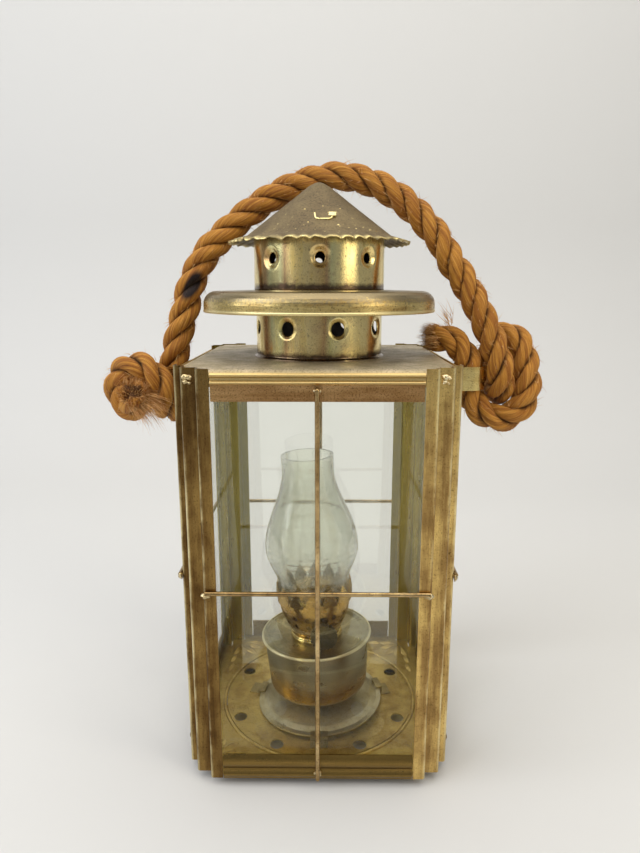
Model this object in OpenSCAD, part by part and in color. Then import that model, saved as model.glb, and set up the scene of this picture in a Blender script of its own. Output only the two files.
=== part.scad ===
// Brass cargo lantern with a rope handle: a square glazed case that stands on a
// round bayonet base, a small oil lamp inside it, and a round vent stack on top.
// The origin is the middle of the base on the table. Z is up and -Y is the front.

/* [Case] */
// Width and depth over the corner posts
body_w = 112; // [104:1:136]
// Height of the case, from its bottom edge to the roof
body_h = 174.3; // [165:0.5:210]
// Height of the case's bottom edge above the table
body_lift = 4.2; // [4:0.1:8]
// Thickness of the brass sheet
sheet = 0.6; // [0.5:0.05:0.7]
// Thickness of the window glass
pane_t = 1.5; // [1:0.1:2.5]

/* [Corner posts] */
// Distance from the corner to the first fold
post_leg = 10.5; // [9:0.1:12]
// Depth of each step of the folded corner
post_step = 4; // [3:0.1:4.5]
// Width of the flat flange beside the window
flange_w = 5.2; // [4:0.1:7]
// Outside radius of a fold
fold_r = 1.2; // [0.9:0.05:1.3]

/* [Rails and guards] */
// Height of the top rail's face
top_rail_h = 10.8; // [9:0.1:14]
// Height of the bottom rail's face
bottom_rail_h = 11.5; // [11.5:0.1:14]
// Diameter of the guard wire
wire_d = 1.9; // [1.5:0.1:2.5]
// Height of the front and rear cross wires above the case's bottom edge
cross_wire_z = 85.3; // [70:0.1:100]
// Height of the side cross wires above the case's bottom edge
side_wire_z = 88; // [70:0.1:100]

/* [Vent stack] */
// Outside radius of the lower drum
lower_drum_r = 27.9; // [26:0.1:29]
// Outside radius of the upper drum
upper_drum_r = 28.5; // [26.5:0.1:29.5]
// Radius of the flue hole in the roof and the brim
flue_r = 24; // [20:0.5:25]
// Height of the lower drum, up to the underside of the brim
lower_drum_h = 28.1; // [24:0.1:34]
// Radius of the brim
brim_r = 50.8; // [44:0.1:54]
// Depth of the brim, from its lip to its top
brim_h = 9.5; // [8:0.1:12]
// Height of the upper drum above the brim
upper_drum_h = 23.5; // [19:0.1:30]
// Radius of the cone cap's lip
cone_lip_r = 39.5; // [36:0.1:42]
// Radius where the cone meets its lip
cone_r = 31.5; // [30.5:0.1:34]
// Steepness of the cone, as height over radius
cone_slope = 0.766; // [0.6:0.01:0.9]
// Radius of the lower drum's air holes
lower_hole_r = 3; // [2:0.1:4]
// Radius of the upper drum's air holes
upper_hole_r = 2; // [1.5:0.1:3]

/* [Base] */
// Radius of the round plate that the lamp stands on
pan_r = 46.2; // [44:0.1:47]
// Radius of the circle of air holes in the base
pan_hole_ring_r = 42; // [40:0.1:42]
// Radius of an air hole in the base
pan_hole_r = 3.1; // [2:0.1:3.2]
// Turn of the base that frees it from its clips, in degrees
bayonet_turn = 30; // [26:1:40]

/* [Lamp] */
// Lean of the lamp to the left, in degrees
lamp_lean = 2.7; // [0:0.1:3]
// Distance of the lamp's foot in front of the centre of the base
lamp_forward = 4.6; // [0:0.1:6]
// Radius of the lamp's saucer foot
foot_r = 30.2; // [28:0.1:32]
// Radius of the tank's rim
tank_r = 25.2; // [24:0.1:32]
// Height of the tank's rim above the foot
tank_top_z = 36.5; // [28:0.1:44]
// Height of the burner's bowl
bowl_h = 16.5; // [14:0.1:24]
// Radius at the top of the burner's bowl
bowl_r = 17; // [16:0.1:21.6]
// Diameter of the wick knob
knob_d = 12.6; // [10:0.1:12.8]
// Height of the glass chimney
chimney_h = 70; // [60:0.5:84]
// Radius of the chimney's bulge
bulge_r = 22.1; // [21.5:0.05:24]
// Radius of the chimney's top
chimney_top_r = 12.3; // [11:0.1:14]
// Wall of the chimney glass
chimney_wall = 1.5; // [0.8:0.1:1.8]
// Width of the flat wick
wick_w = 12; // [8:0.5:13]

/* [Rope] */
// Diameter of the rope
rope_d = 12.6; // [10:0.1:12.7]
// Height of a rope lug's strap
lug_h = 10.6; // [8:0.1:10.6]
// Reach of a rope lug from the side of the case
lug_reach = 19.2; // [18.5:0.1:19.4]

/* [Hidden] */
$fn = 96;

brass = "#b49a5c";
dull_brass = "#8a7a5e";
pale_brass = "#c9bd96";
dark_brass = "#5a5140";
clear_glass = [0.8, 0.9, 0.85, 0.35];
rope_brown = "#a8692e";
cotton = "#ded6c2";

half_w = body_w / 2;
inner_w = half_w - sheet;
case_bottom = body_lift;
roof_z = body_lift + body_h;
flange_in = half_w - post_leg - flange_w;
end_gap = 0.4;
running = 0.05;
soft_gap = 0.6;

// A point on an arc of radius r about c, at angle a
function arc_point(c, r, a) = c + r * [cos(a), sin(a)];

// Points of a bump that swells by rise between z0 and z1
function bump(z0, z1, rise, steps = 8) =
  [for (i = [0:steps]) [-rise * sin(180 * i / steps), z0 + (z1 - z0) * i / steps]];

// Places children on one side of the case: 0 front, 1 right, 2 rear, 3 left
module side(k) {
  rotate([0, 0, 90 * k]) children();
}

// CORNER POSTS
// One sheet folded into two steps, with a flange beside each window
post_folds = [
  [post_leg + flange_w, 0], [post_leg, 0], [post_leg, post_step],
  [post_step, post_step], [post_step, post_leg], [0, post_leg],
  [0, post_leg + flange_w]
];

function cross_z(a, b) = a[0] * b[1] - a[1] * b[0];

// One edge of the folded strip, at a distance off to the left of the fold line
function folded_edge(p, off, steps = 5) = [
  let (d = (p[1] - p[0]) / norm(p[1] - p[0])) p[0] + off * [-d[1], d[0]],
  for (i = [1:len(p) - 2])
    let (
      d_in = (p[i] - p[i - 1]) / norm(p[i] - p[i - 1]),
      d_out = (p[i + 1] - p[i]) / norm(p[i + 1] - p[i]),
      s = sign(cross_z(d_in, d_out)),
      r = s < 0 ? fold_r : fold_r - sheet,
      c = p[i] - r * d_in + r * d_out,
      r_edge = r - s * off
    )
    for (k = [0:steps])
      c + r_edge * (sin(90 * k / steps) * d_in - cos(90 * k / steps) * d_out),
  let (n = len(p) - 1, d = (p[n] - p[n - 1]) / norm(p[n] - p[n - 1]))
    p[n] + off * [-d[1], d[0]]
];

post_top = roof_z + 0.4;

module post(sx, sy) {
  outer = folded_edge(post_folds, 0);
  inner = folded_edge(post_folds, -sheet);
  last = len(inner) - 1;
  color(brass)
    translate([sx * half_w, sy * half_w, case_bottom])
      mirror([sx > 0 ? 1 : 0, 0, 0])
        mirror([0, sy > 0 ? 1 : 0, 0])
          linear_extrude(post_top - case_bottom)
            polygon(concat(outer, [for (i = [last:-1:0]) inner[i]]));
}

// The plan that fits between the four posts
post_clear = fold_r - sheet;
module between_posts() {
  long_cut = post_leg + sheet + post_clear;
  short_cut = post_step + sheet + post_clear;
  difference() {
    square(2 * inner_w, center = true);
    for (sx = [-1, 1], sy = [-1, 1]) {
      translate([sx * (half_w - long_cut / 2), sy * (half_w - short_cut / 2)])
        square([long_cut, short_cut], center = true);
      translate([sx * (half_w - short_cut / 2), sy * (half_w - long_cut / 2)])
        square([short_cut, long_cut], center = true);
    }
  }
}

// RAILS
rail_half = flange_in - end_gap;
bead_rise = 0.9;
top_rail_low = roof_z - 1.1 - top_rail_h;

// A strip with its section drawn in Y and Z, laid along the front of the case
module front_strip(points, half_length) {
  rotate([90, 0, 90])
    translate([0, 0, -half_length])
      linear_extrude(2 * half_length)
        polygon(points);
}

module top_rail(k) {
  band_top = top_rail_low + 6.2;
  face = concat(
    [[0, top_rail_low]],
    bump(band_top, band_top + 1.8, bead_rise),
    bump(band_top + 2.7, top_rail_low + top_rail_h, bead_rise)
  );
  color(brass)
    side(k)
      front_strip(concat(
        [for (p = face) [p[0] - half_w, p[1]]],
        [[-inner_w, top_rail_low + top_rail_h], [-inner_w, top_rail_low]]
      ), rail_half);
}

floor_top = case_bottom + 1.8;
floor_low = floor_top - sheet;
lip_depth = 3.5;

module bottom_rail(k) {
  face = concat(
    [[0, case_bottom]],
    bump(case_bottom + 0.5, case_bottom + 4, 1),
    bump(case_bottom + 4.9, case_bottom + bottom_rail_h, 1.4)
  );
  color(brass)
    side(k)
      front_strip(concat(
        [for (p = face) [p[0] - half_w, p[1]]],
        [
          [-inner_w, case_bottom + bottom_rail_h], [-inner_w, floor_low],
          [-inner_w + lip_depth, floor_low], [-inner_w + lip_depth, floor_low - sheet],
          [-inner_w, floor_low - sheet], [-inner_w, case_bottom]
        ]
      ), rail_half);
}

// GLASS
lid_skirt_low = roof_z - 6.5;
pane_half = half_w - post_leg - sheet - 0.9;

module pane(k) {
  pane_h = lid_skirt_low - end_gap - floor_top;
  color(clear_glass)
    side(k)
      translate([-pane_half, -inner_w, floor_top])
        cube([2 * pane_half, pane_t, pane_h]);
}

// WIRE GUARDS
// A cross wire lies on the flanges, and an upright lies over it with its ends bent in
module guard(k, cross_z) {
  wire_r = wire_d / 2;
  cross_y = -half_w - wire_r;
  upright_y = cross_y - wire_d;
  low_z = case_bottom + 2.25;
  high_z = top_rail_low + 4.6;
  cross_half = flange_in + flange_w - 0.8;
  color(brass)
    side(k) {
      translate([-cross_half, cross_y, case_bottom + cross_z])
        rotate([0, 90, 0])
          cylinder(h = 2 * cross_half, r = wire_r, $fn = 24);
      translate([0, upright_y, low_z])
        cylinder(h = high_z - low_z, r = wire_r, $fn = 24);
      translate([0, upright_y, low_z]) sphere(r = wire_r, $fn = 24);
      translate([0, upright_y, high_z]) sphere(r = wire_r, $fn = 24);
      translate([0, upright_y, low_z])
        rotate([-90, 0, 0])
          cylinder(h = -half_w - 1 - upright_y, r = wire_r, $fn = 24);
      translate([0, upright_y, high_z])
        rotate([-90, 0, 0])
          cylinder(h = -half_w - upright_y, r = wire_r, $fn = 24);
    }
}

// SOLDER
// One dab near the top of each post, on the face between its two steps
dab_r = 2.2;
dab_sunk = 1.1;
module solder_dabs() {
  dab_x = half_w - (post_leg + post_step) / 2;
  face_y = half_w - post_step;
  color(pale_brass)
    for (sx = [-1, 1], sy = [-1, 1])
      intersection() {
        translate([sx * dab_x, sy * (face_y - dab_sunk), roof_z - 4.1])
          sphere(r = dab_r, $fn = 32);
        translate([sx * dab_x, sy * (face_y + dab_r), roof_z - 4.1])
          cube([2 * dab_r, 2 * dab_r, 2 * dab_r], center = true);
      }
}

// FLOOR
// The fixed floor has a rolled ring round the hole that the base fits
hole_clear = 0.4;
ring_r = pan_r + hole_clear + 0.9;
module floor_plate() {
  color(brass)
    difference() {
      union() {
        translate([0, 0, floor_low]) linear_extrude(sheet) between_posts();
        translate([0, 0, floor_top])
          rotate_extrude() translate([ring_r, 0]) circle(r = 0.8, $fn = 24);
      }
      translate([0, 0, floor_low - 5]) cylinder(h = 10, r = pan_r + hole_clear);
      translate([0, 0, floor_low - 5]) cylinder(h = 5, r = ring_r + 2);
    }
}

// Three hooks under the floor hold the flange of the base
clip_turns = [90, 210, 330];
clip_half = 8;
flange_r = pan_r + 3.8;
clip_in = flange_r - 2.5;
flange_top = floor_low - running;
flange_low = flange_top - sheet;
hook_top = flange_low - running;
hook_low = hook_top - sheet;

// A ring sector between two radii, about a bearing
module sector(r_in, r_out, bearing, half_angle) {
  rotate([0, 0, bearing])
    difference() {
      intersection() {
        circle(r = r_out);
        polygon([
          [0, 0],
          2 * r_out * [cos(half_angle), -sin(half_angle)],
          2 * r_out * [cos(half_angle), sin(half_angle)]
        ]);
      }
      circle(r = r_in);
    }
}

module base_clips() {
  wall_in = flange_r + 0.3;
  color(dull_brass)
    for (turn = clip_turns) {
      translate([0, 0, hook_low])
        linear_extrude(floor_low - hook_low)
          sector(wall_in, wall_in + sheet, turn, clip_half);
      translate([0, 0, hook_low])
        linear_extrude(sheet)
          sector(clip_in, wall_in + 0.1, turn, clip_half);
    }
}

// BASE
// A turned plate with a skirt to stand on, and a notched flange for the clips
pan_top = floor_top + 0.2;
foot_ring_h = 0.8;
notch_half = clip_half + 3;
module base_pan() {
  color(brass)
    difference() {
      union() {
        translate([0, 0, pan_top - sheet]) cylinder(h = sheet, r = pan_r);
        rotate_extrude()
          polygon([
            [pan_r - 0.8, 0], [pan_r - 0.2, 0], [pan_r - 0.2, flange_low],
            [flange_r, flange_low], [flange_r, flange_top], [pan_r, flange_top],
            [pan_r, pan_top], [pan_r - 0.8, pan_top]
          ]);
        rotate_extrude()
          translate([pan_r - 1.6, 0]) square([1.6, foot_ring_h]);
      }
      for (turn = clip_turns)
        translate([0, 0, flange_low - 1])
          linear_extrude(3)
            sector(pan_r + 0.1, flange_r + 2, turn - bayonet_turn, notch_half);
      for (quarter = [0:3], s = [-1, 1])
        rotate([0, 0, 90 * quarter + s * 26.5])
          translate([pan_hole_ring_r, 0, pan_top - 3])
            cylinder(h = 6, r = pan_hole_r, $fn = 32);
    }
}

// LAMP
// The lamp's own axis starts at the foot, and leans about the foot's left edge
lamp_x = 0.4;
module on_lamp() {
  translate([lamp_x - foot_r, -lamp_forward, pan_top])
    rotate([0, -lamp_lean, 0])
      translate([foot_r, 0, 0])
        children();
}

// Three claws, cut from the base, fold over the edge of the foot
foot_edge_t = 1;
claw_turns = [14, 166, 270];
claw_w = 8;
module foot_claws() {
  color(dull_brass)
    for (turn = claw_turns) {
      lift = sin(lamp_lean) * foot_r * (1 + cos(turn));
      claw_in = foot_r - 2;
      claw_out = foot_r + 0.6;
      top = lift + foot_edge_t + 0.25 + sheet;
      translate([lamp_x, -lamp_forward, pan_top])
        rotate([0, 0, turn])
          translate([0, claw_w / 2, 0])
            rotate([90, 0, 0])
              linear_extrude(claw_w)
                polygon([
                  [claw_out + 5, 0], [claw_out + 5, sheet], [claw_out + sheet, sheet],
                  [claw_out + sheet, top], [claw_in, top],
                  [claw_in, top - sheet], [claw_out, top - sheet], [claw_out, 0]
                ]);
    }
}

// A spun saucer with a short neck under the tank
neck_r = 13;
tank_low_z = 9;
module lamp_foot() {
  color(pale_brass)
    on_lamp()
      rotate_extrude()
        polygon([
          [neck_r - 1, tank_low_z - sheet], [neck_r - 1, 5], [18, 3.2], [26, 1],
          [foot_r - 1, 0], [foot_r, 0.3], [foot_r, foot_edge_t],
          [foot_r - 2.2, foot_edge_t], [25.5, 2.1], [18.5, 4.1], [neck_r, 6], [neck_r, tank_low_z], [0, tank_low_z],
          [0, tank_low_z - sheet]
        ]);
}

// The tank is a drawn cup with a rounded bottom edge
tank_low_r = tank_r - 1.5;
tank_round = 4.5;
function tank_side(off) = [
  for (a = [-90:15:0])
    arc_point([tank_low_r - tank_round, tank_low_z + tank_round], tank_round - off, a)
];
module tank_body() {
  rim_z = tank_top_z - sheet;
  color(brass)
    on_lamp()
      rotate_extrude()
        polygon(concat(
          [[0, tank_low_z]], tank_side(0), [[tank_r, rim_z], [tank_r - sheet, rim_z]],
          [for (i = [6:-1:0]) tank_side(sheet)[i]], [[0, tank_low_z + sheet]]
        ));
}

// The dished top closes the tank, with its edge rolled over the rim
collar_r = 12.2;
collar_bore = 9.6;
module tank_top() {
  top = tank_top_z;
  color(dull_brass)
    on_lamp()
      rotate_extrude() {
        polygon([
          [collar_bore, top - 1.6], [collar_r + 1, top - 1.6], [tank_r - 2.4, top - 1.6],
          [tank_r - 0.8, top - sheet], [tank_r + 0.5, top - sheet], [tank_r + 0.5, top],
          [tank_r - 1, top], [tank_r - 2.6, top - 1], [collar_bore, top - 1]
        ]);
        translate([tank_r + 0.75, top - 0.3]) circle(r = 0.7, $fn = 24);
      }
}

// The threaded collar on the tank takes the burner
collar_h = 2.8;
module filler_collar() {
  low = tank_top_z - 1;
  color(brass)
    on_lamp()
      rotate_extrude() {
        translate([collar_bore, low]) square([collar_r - collar_bore - 0.5, collar_h]);
        translate([collar_r - 0.6, low + 1]) circle(r = 0.8, $fn = 24);
        translate([collar_r - 0.6, low + 2]) circle(r = 0.7, $fn = 24);
      }
}

// BURNER
bowl_low = tank_top_z - 1 + collar_h;
bowl_top = bowl_low + bowl_h;
bowl_low_r = 11.75;
spindle_z = tank_top_z + 6.6;
wheel_r = 3;
wick_t = 2;
wick_clear = 0.35;
spindle_x = wick_t / 2 + wheel_r + 0.05;
spindle_r = 0.8;
spindle_run = 0.06;

tube_t = wick_t + 2 * wick_clear + 0.8;
tube_w = wick_w + 2 * wick_clear + 0.8;
module tube_outline(low, h) {
  translate([-tube_t / 2, -tube_w / 2, low]) cube([tube_t, tube_w, h]);
}

// Radius of the bowl's outside at a share s of its height
function bowl_out(s) = bowl_low_r + (bowl_r - bowl_low_r) * sin(90 * s);

module burner_bowl() {
  steps = 10;
  skirt_low = tank_top_z - 0.8;
  skirt_r = collar_bore - running;
  slots = 16;
  color(dull_brass)
    on_lamp()
      difference() {
        rotate_extrude()
          polygon(concat(
            [
              [0, bowl_low], [skirt_r - 1.2, bowl_low], [skirt_r - 1.2, skirt_low],
              [skirt_r, skirt_low], [skirt_r, bowl_low], [bowl_low_r, bowl_low]
            ],
            [for (i = [0:steps]) [bowl_out(i / steps), bowl_low + 1 + (bowl_h - 1) * i / steps]],
            [for (i = [steps:-1:0])
              [bowl_out(i / steps) - sheet, bowl_low + 1 + (bowl_h - 1) * i / steps]],
            [[0, bowl_low + 1]]
          ));
        tube_outline(bowl_low - 1, 3);
        for (i = [0:slots - 1])
          rotate([0, 0, (i + 0.5) * 360 / slots])
            for (row = [0, 1])
              translate([bowl_low_r - 1, 0, bowl_low + 7.4 + 4.6 * row])
                rotate([0, 90, 0])
                  cylinder(h = bowl_r, r = 1.3, $fn = 24);
        translate([spindle_x, 0, spindle_z])
          rotate([90, 0, 0])
            cylinder(h = 2 * bowl_r, r = spindle_r + spindle_run, center = true, $fn = 24);
      }
}

// A ring with pointed prongs that spring against the glass
crown_low = bowl_top;
crown_base_h = 3;
seat_z = crown_low + sheet;
prong_count = 14;
prong_h = 8;
chimney_foot_r = bowl_r - 0.4;
module chimney_crown() {
  ring_out = bowl_r + 0.9;
  prong_low = crown_base_h - 1;
  prong_root_r = ring_out - 0.45;
  tip_r = glass_out(prong_low + prong_h - sheet) + 0.5;
  lean = asin((tip_r - prong_root_r) / prong_h);
  color(brass)
    on_lamp() {
      rotate_extrude()
        polygon([
          [bowl_r - 3, crown_low], [ring_out, crown_low], [ring_out, crown_low + crown_base_h],
          [ring_out - sheet, crown_low + crown_base_h], [ring_out - sheet, seat_z],
          [bowl_r - 3, seat_z]
        ]);
      for (i = [0:prong_count - 1])
        rotate([0, 0, (i + 0.5) * 360 / prong_count])
          translate([prong_root_r, 0, crown_low + prong_low])
            rotate([0, lean, 0])
              rotate([90, 0, 90])
                linear_extrude(sheet - 0.1)
                  polygon([[-3.5, 0], [3.5, 0], [3.4, 3], [0, prong_h], [-3.4, 3]]);
    }
}

// The flame burns at the slot of a dome
dome_r = bowl_r - 4.5;
dome_h = 8;
module flame_dome() {
  steps = 8;
  slot_w = 3.2;
  color(brass)
    on_lamp()
      difference() {
        rotate_extrude()
          polygon(concat(
            [[bowl_r - 2.4, seat_z], [bowl_r - 2.4, seat_z + 0.5], [dome_r, seat_z + 0.5]],
            [for (i = [1:steps])
              [dome_r * cos(90 * i / steps), seat_z + 0.5 + dome_h * sin(90 * i / steps)]],
            [for (i = [steps:-1:1])
              [(dome_r - 0.6) * cos(90 * i / steps),
                seat_z + 0.5 + (dome_h - 0.6) * sin(90 * i / steps)]],
            [[dome_r - 0.6, seat_z]]
          ));
        translate([-slot_w / 2, -wick_w / 2 - 1, seat_z + 1]) cube([slot_w, wick_w + 2, dome_h]);
      }
}

// A flat tube guides the wick, with a window for the toothed wheels
tube_low = tank_top_z - 0.5;
tube_top = bowl_top + 4.2;
module wick_tube() {
  hole_t = tube_t - 0.8;
  hole_w = tube_w - 0.8;
  color(brass)
    on_lamp()
      difference() {
        tube_outline(tube_low, tube_top - tube_low);
        translate([-hole_t / 2, -hole_w / 2, tube_low - 1])
          cube([hole_t, hole_w, tube_top - tube_low + 2]);
        translate([0.5, -5, spindle_z - 3.6]) cube([4, 10, 7.2]);
      }
}

wick_low = tank_low_z + 6;
wick_above = 1.5;
module wick() {
  color(cotton)
    on_lamp()
      translate([-wick_t / 2, -wick_w / 2, wick_low])
        cube([wick_t, wick_w, tube_top + wick_above - wick_low]);
}

knob_y = -bowl_r - 0.8;
knob_t = 2.6;
module wick_spindle() {
  color(dark_brass)
    on_lamp()
      translate([spindle_x, 0, spindle_z])
        rotate([90, 0, 0]) {
          translate([0, 0, -8.5]) cylinder(h = 8.5 - knob_y + knob_t / 2, r = spindle_r, $fn = 24);
          for (z = [-3.6, 2.4])
            translate([0, 0, z])
              linear_extrude(1.2)
                union() {
                  circle(r = wheel_r - 0.7, $fn = 24);
                  for (i = [0:7])
                    rotate(45 * i + 22.5)
                      polygon([[0, -0.9], [wheel_r - 0.05, -0.15], [wheel_r - 0.05, 0.15], [0, 0.9]]);
                }
        }
}

// A cast knob with a knurled edge, riveted to the spindle
module wick_knob() {
  knurls = 20;
  color(dark_brass)
    on_lamp()
      translate([spindle_x, knob_y + knob_t / 2, spindle_z])
        rotate([90, 0, 0])
          difference() {
            union() {
              cylinder(h = knob_t, r = knob_d / 2 - 0.5, $fn = 48);
              for (i = [0:knurls - 1])
                rotate([0, 0, 360 * i / knurls])
                  translate([knob_d / 2 - 0.7, 0, 0])
                    cylinder(h = knob_t, r = 0.7, $fn = 16);
            }
            translate([0, 0, -1]) cylinder(h = knob_t + 2, r = spindle_r, $fn = 24);
          }
}

// CHIMNEY
// Blown glass: a straight foot, a bulge, and a long neck with a fire-polished top
glass_low = seat_z;
function lerp(a, b, s) = a + (b - a) * s;
function ease(s) = (1 - cos(180 * s)) / 2;
foot_straight = 6;
bulge_z = 26;
neck_z = 64;
neck_r_out = chimney_top_r - 0.2;
function glass_out(z) =
  z < foot_straight ? chimney_foot_r :
  z < bulge_z ?
    lerp(chimney_foot_r, bulge_r, ease((z - foot_straight) / (bulge_z - foot_straight))) :
  z < neck_z ? lerp(bulge_r, neck_r_out, ease((z - bulge_z) / (neck_z - bulge_z))) :
  lerp(neck_r_out, chimney_top_r, (z - neck_z) / (chimney_h - neck_z));

module glass_chimney() {
  steps = 26;
  heights = [for (i = [0:steps]) chimney_h * i / steps];
  color(clear_glass)
    on_lamp()
      translate([0, 0, glass_low])
        rotate_extrude()
          polygon(concat(
            [for (z = heights) [glass_out(z), z]],
            [for (i = [steps:-1:0]) [glass_out(heights[i]) - chimney_wall, heights[i]]]
          ));
}

// ROOF
roof_round = 4;
module roof_shell(off) {
  r = roof_round - off;
  w = inner_w - off;
  low = lid_skirt_low - (off > 0 ? 1 : 0);
  rotate([90, 0, 0])
    translate([0, 0, -half_w])
      linear_extrude(body_w)
        polygon(concat(
          [[-w, low], [w, low]],
          [for (a = [0:15:90]) arc_point([w - r, roof_z - off - r], r, a)],
          [for (a = [90:15:180]) arc_point([r - w, roof_z - off - r], r, a)]
        ));
}

module roof_plate() {
  color(dull_brass)
    difference() {
      intersection() {
        roof_shell(0);
        rotate([0, 0, 90]) roof_shell(0);
        translate([0, 0, lid_skirt_low]) linear_extrude(20) between_posts();
      }
      intersection() {
        roof_shell(sheet);
        rotate([0, 0, 90]) roof_shell(sheet);
      }
      translate([0, 0, roof_z - 5]) cylinder(h = 10, r = flue_r);
    }
}

// VENT STACK
brim_top = roof_z + lower_drum_h + sheet;
brim_low = brim_top - brim_h;
cone_wall = 0.76;
cone_base_z = brim_top + upper_drum_h - (cone_r - upper_drum_r) * cone_slope + cone_wall;
cone_tip_r = 2;
cone_tip_z = cone_base_z + (cone_r - cone_tip_r) * cone_slope;

// A drum with a ring of punched air holes
module drum(r, low, high, hole_z, hole_r, first) {
  difference() {
    translate([0, 0, low]) cylinder(h = high - low, r = r);
    translate([0, 0, low - 1]) cylinder(h = high - low + 2, r = r - sheet);
    for (i = [0:7])
      rotate([0, 0, first + 45 * i])
        translate([0, 0, hole_z])
          rotate([90, 0, 0])
            cylinder(h = r + 2, r = hole_r, $fn = 32);
  }
}

lower_first = 17;
module lower_drum() {
  color(brass)
    union() {
      drum(lower_drum_r, roof_z, brim_top - sheet, roof_z + 12.9, lower_hole_r, lower_first);
      translate([0, 0, roof_z])
        difference() {
          cylinder(h = sheet, r = lower_drum_r + 1.2);
          translate([0, 0, -1]) cylinder(h = 3, r = lower_drum_r - sheet);
        }
    }
}

module upper_drum() {
  color(brass)
    drum(upper_drum_r, brim_top, brim_top + upper_drum_h, brim_top + 12.8, upper_hole_r, 0);
}

// An inverted saucer, with its edge rolled
brim_round = 5.5;
module brim() {
  c = [brim_r - brim_round, brim_top - brim_round - 0.4];
  color(dull_brass)
    rotate_extrude()
      polygon(concat(
        [[flue_r, brim_top - sheet], [flue_r, brim_top], [upper_drum_r + 2, brim_top]],
        [for (a = [90:-15:0]) arc_point(c, brim_round, a)],
        [for (a = [45:-30:-225]) arc_point([brim_r - 0.5, brim_low + 0.7], 0.7, a)],
        [for (a = [0:15:90]) arc_point(c, brim_round - sheet, a)],
        [[upper_drum_r + 2, brim_top - sheet]]
      ));
}

// The rain cap: a flat-topped cone with a crimped lip
lip_drop = 2.5;
module cone_cap() {
  color(dull_brass)
    rotate_extrude()
      polygon([
        [0, cone_tip_z], [cone_tip_r, cone_tip_z], [cone_r, cone_base_z],
        [cone_lip_r, cone_base_z - lip_drop], [cone_lip_r, cone_base_z - lip_drop - cone_wall],
        [cone_r, cone_base_z - cone_wall], [cone_tip_r, cone_tip_z - cone_wall],
        [0, cone_tip_z - cone_wall]
      ]);
}

// The end of the cap's stay comes through the cone and is folded flat
module cap_tab() {
  tab_r = 22.9;
  color(pale_brass)
    translate([2.4, -tab_r, cone_base_z + (cone_r - tab_r) * cone_slope])
      rotate([atan(cone_slope), 0, 0])
        translate([-4.6, -2.4, 0])
          cube([9.2, 4.8, 0.5]);
}

// ROPE LUGS
lug_t = 0.8;
rope_r = rope_d / 2;
lug_in_y = rope_r + 0.5;
lug_low = roof_z - 4.7 - lug_h;
module rope_lug(s) {
  loop_w = lug_in_y + lug_t;
  foot_y = loop_w + 7;
  foot_h = 9.4;
  color(brass)
    mirror([s < 0 ? 1 : 0, 0, 0])
      translate([half_w, 0, lug_low])
        difference() {
          union() {
            linear_extrude(lug_h)
              difference() {
                union() {
                  translate([0, -loop_w]) square([lug_reach - loop_w, 2 * loop_w]);
                  translate([lug_reach - loop_w, 0]) circle(r = loop_w);
                }
                union() {
                  translate([-1, -lug_in_y]) square([lug_reach - loop_w + 1, 2 * lug_in_y]);
                  translate([lug_reach - loop_w, 0]) circle(r = lug_in_y);
                }
              }
            for (t = [-1, 1])
              translate([0, t > 0 ? lug_in_y : -foot_y, 0])
                cube([lug_t, foot_y - lug_in_y, foot_h]);
          }
          translate([-1, -foot_y - 1, foot_h]) cube([2.2, 2 * foot_y + 2, lug_h]);
        }
}

// ROPE
// The route is in millimetres from the origin. The handle is free to swing back
// about a line through its two hinge points, and each end is knotted at its lug.
hinge_left = [-61, 2, 196];
hinge_right = [73, 2, 196];
handle_route = [
  hinge_left, [-59.5, 3.5, 202], [-58, 5, 209], [-51.8, 8.5, 222], [-42.2, 11.5, 232.8],
  [-31.5, 13, 241.5], [-21.5, 14.5, 248], [-12.5, 16, 252.5], [-2, 17, 256], [8, 17, 257.5],
  [16.5, 17, 256.5], [25, 16, 254], [33.5, 15, 249.5], [41, 14, 244], [48, 12, 237],
  [54, 10, 229.5], [59, 8, 220.5], [64.5, 6, 212], [69.5, 4, 203], hinge_right
];
left_route = [
  hinge_left, [-63.5, 1, 187], [-65.5, 0, 178], [-66.8, 0, 169], [-67, 0.4, 162.5],
  [-67, -2, 157.2], [-67, -7, 155], [-67.3, -12, 157.2], [-67.8, -14.6, 162.5],
  [-70, -15, 169], [-76.5, -13.5, 174.5], [-84, -11.5, 173.5], [-88.5, -9.8, 168],
  [-88.7, -9.5, 161.5], [-85, -11, 157.2], [-81, -15.2, 157.5], [-79.6, -20.5, 161],
  [-78.3, -25, 165.5]
];
right_route = [
  hinge_right, [77, 0, 186.5], [80, -2.5, 178], [81.5, -3.8, 170.5], [82, -2, 164.5],
  [82, 3, 161.7], [82, 8, 163.3], [81.5, 11, 168], [80.5, 12.3, 175], [81.2, 12.5, 181.5],
  [84.5, 11.8, 186.3], [89.3, 9.8, 186.3], [93, 7, 181.5], [94.8, 3.5, 173], [95, 0, 164],
  [93, -2, 157], [88.5, -3, 152], [82, -3, 150], [75.5, -2.5, 152], [70.5, -1, 157],
  [67.7, 0, 164], [67.6, 0, 172], [66, 1.2, 178.5], [62.5, 3, 183.2], [57, 3.5, 185.5],
  [52, 3.5, 186]
];

function unit(v) = v / norm(v);

// A smooth curve through the points of a route, at u counted in points
function on_route(p, u) =
  let (
    i = min(floor(u), len(p) - 2),
    s = u - i,
    a = p[max(i - 1, 0)],
    b = p[i],
    c = p[i + 1],
    d = p[min(i + 2, len(p) - 1)]
  )
  0.5 * (2 * b + (c - a) * s + (2 * a - 5 * b + 4 * c - d) * s * s
    + (3 * b - a - 3 * c + d) * s * s * s);

function along(p, u) = unit(on_route(p, min(u + 0.02, len(p) - 1)) - on_route(p, max(u - 0.02, 0)));

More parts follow.
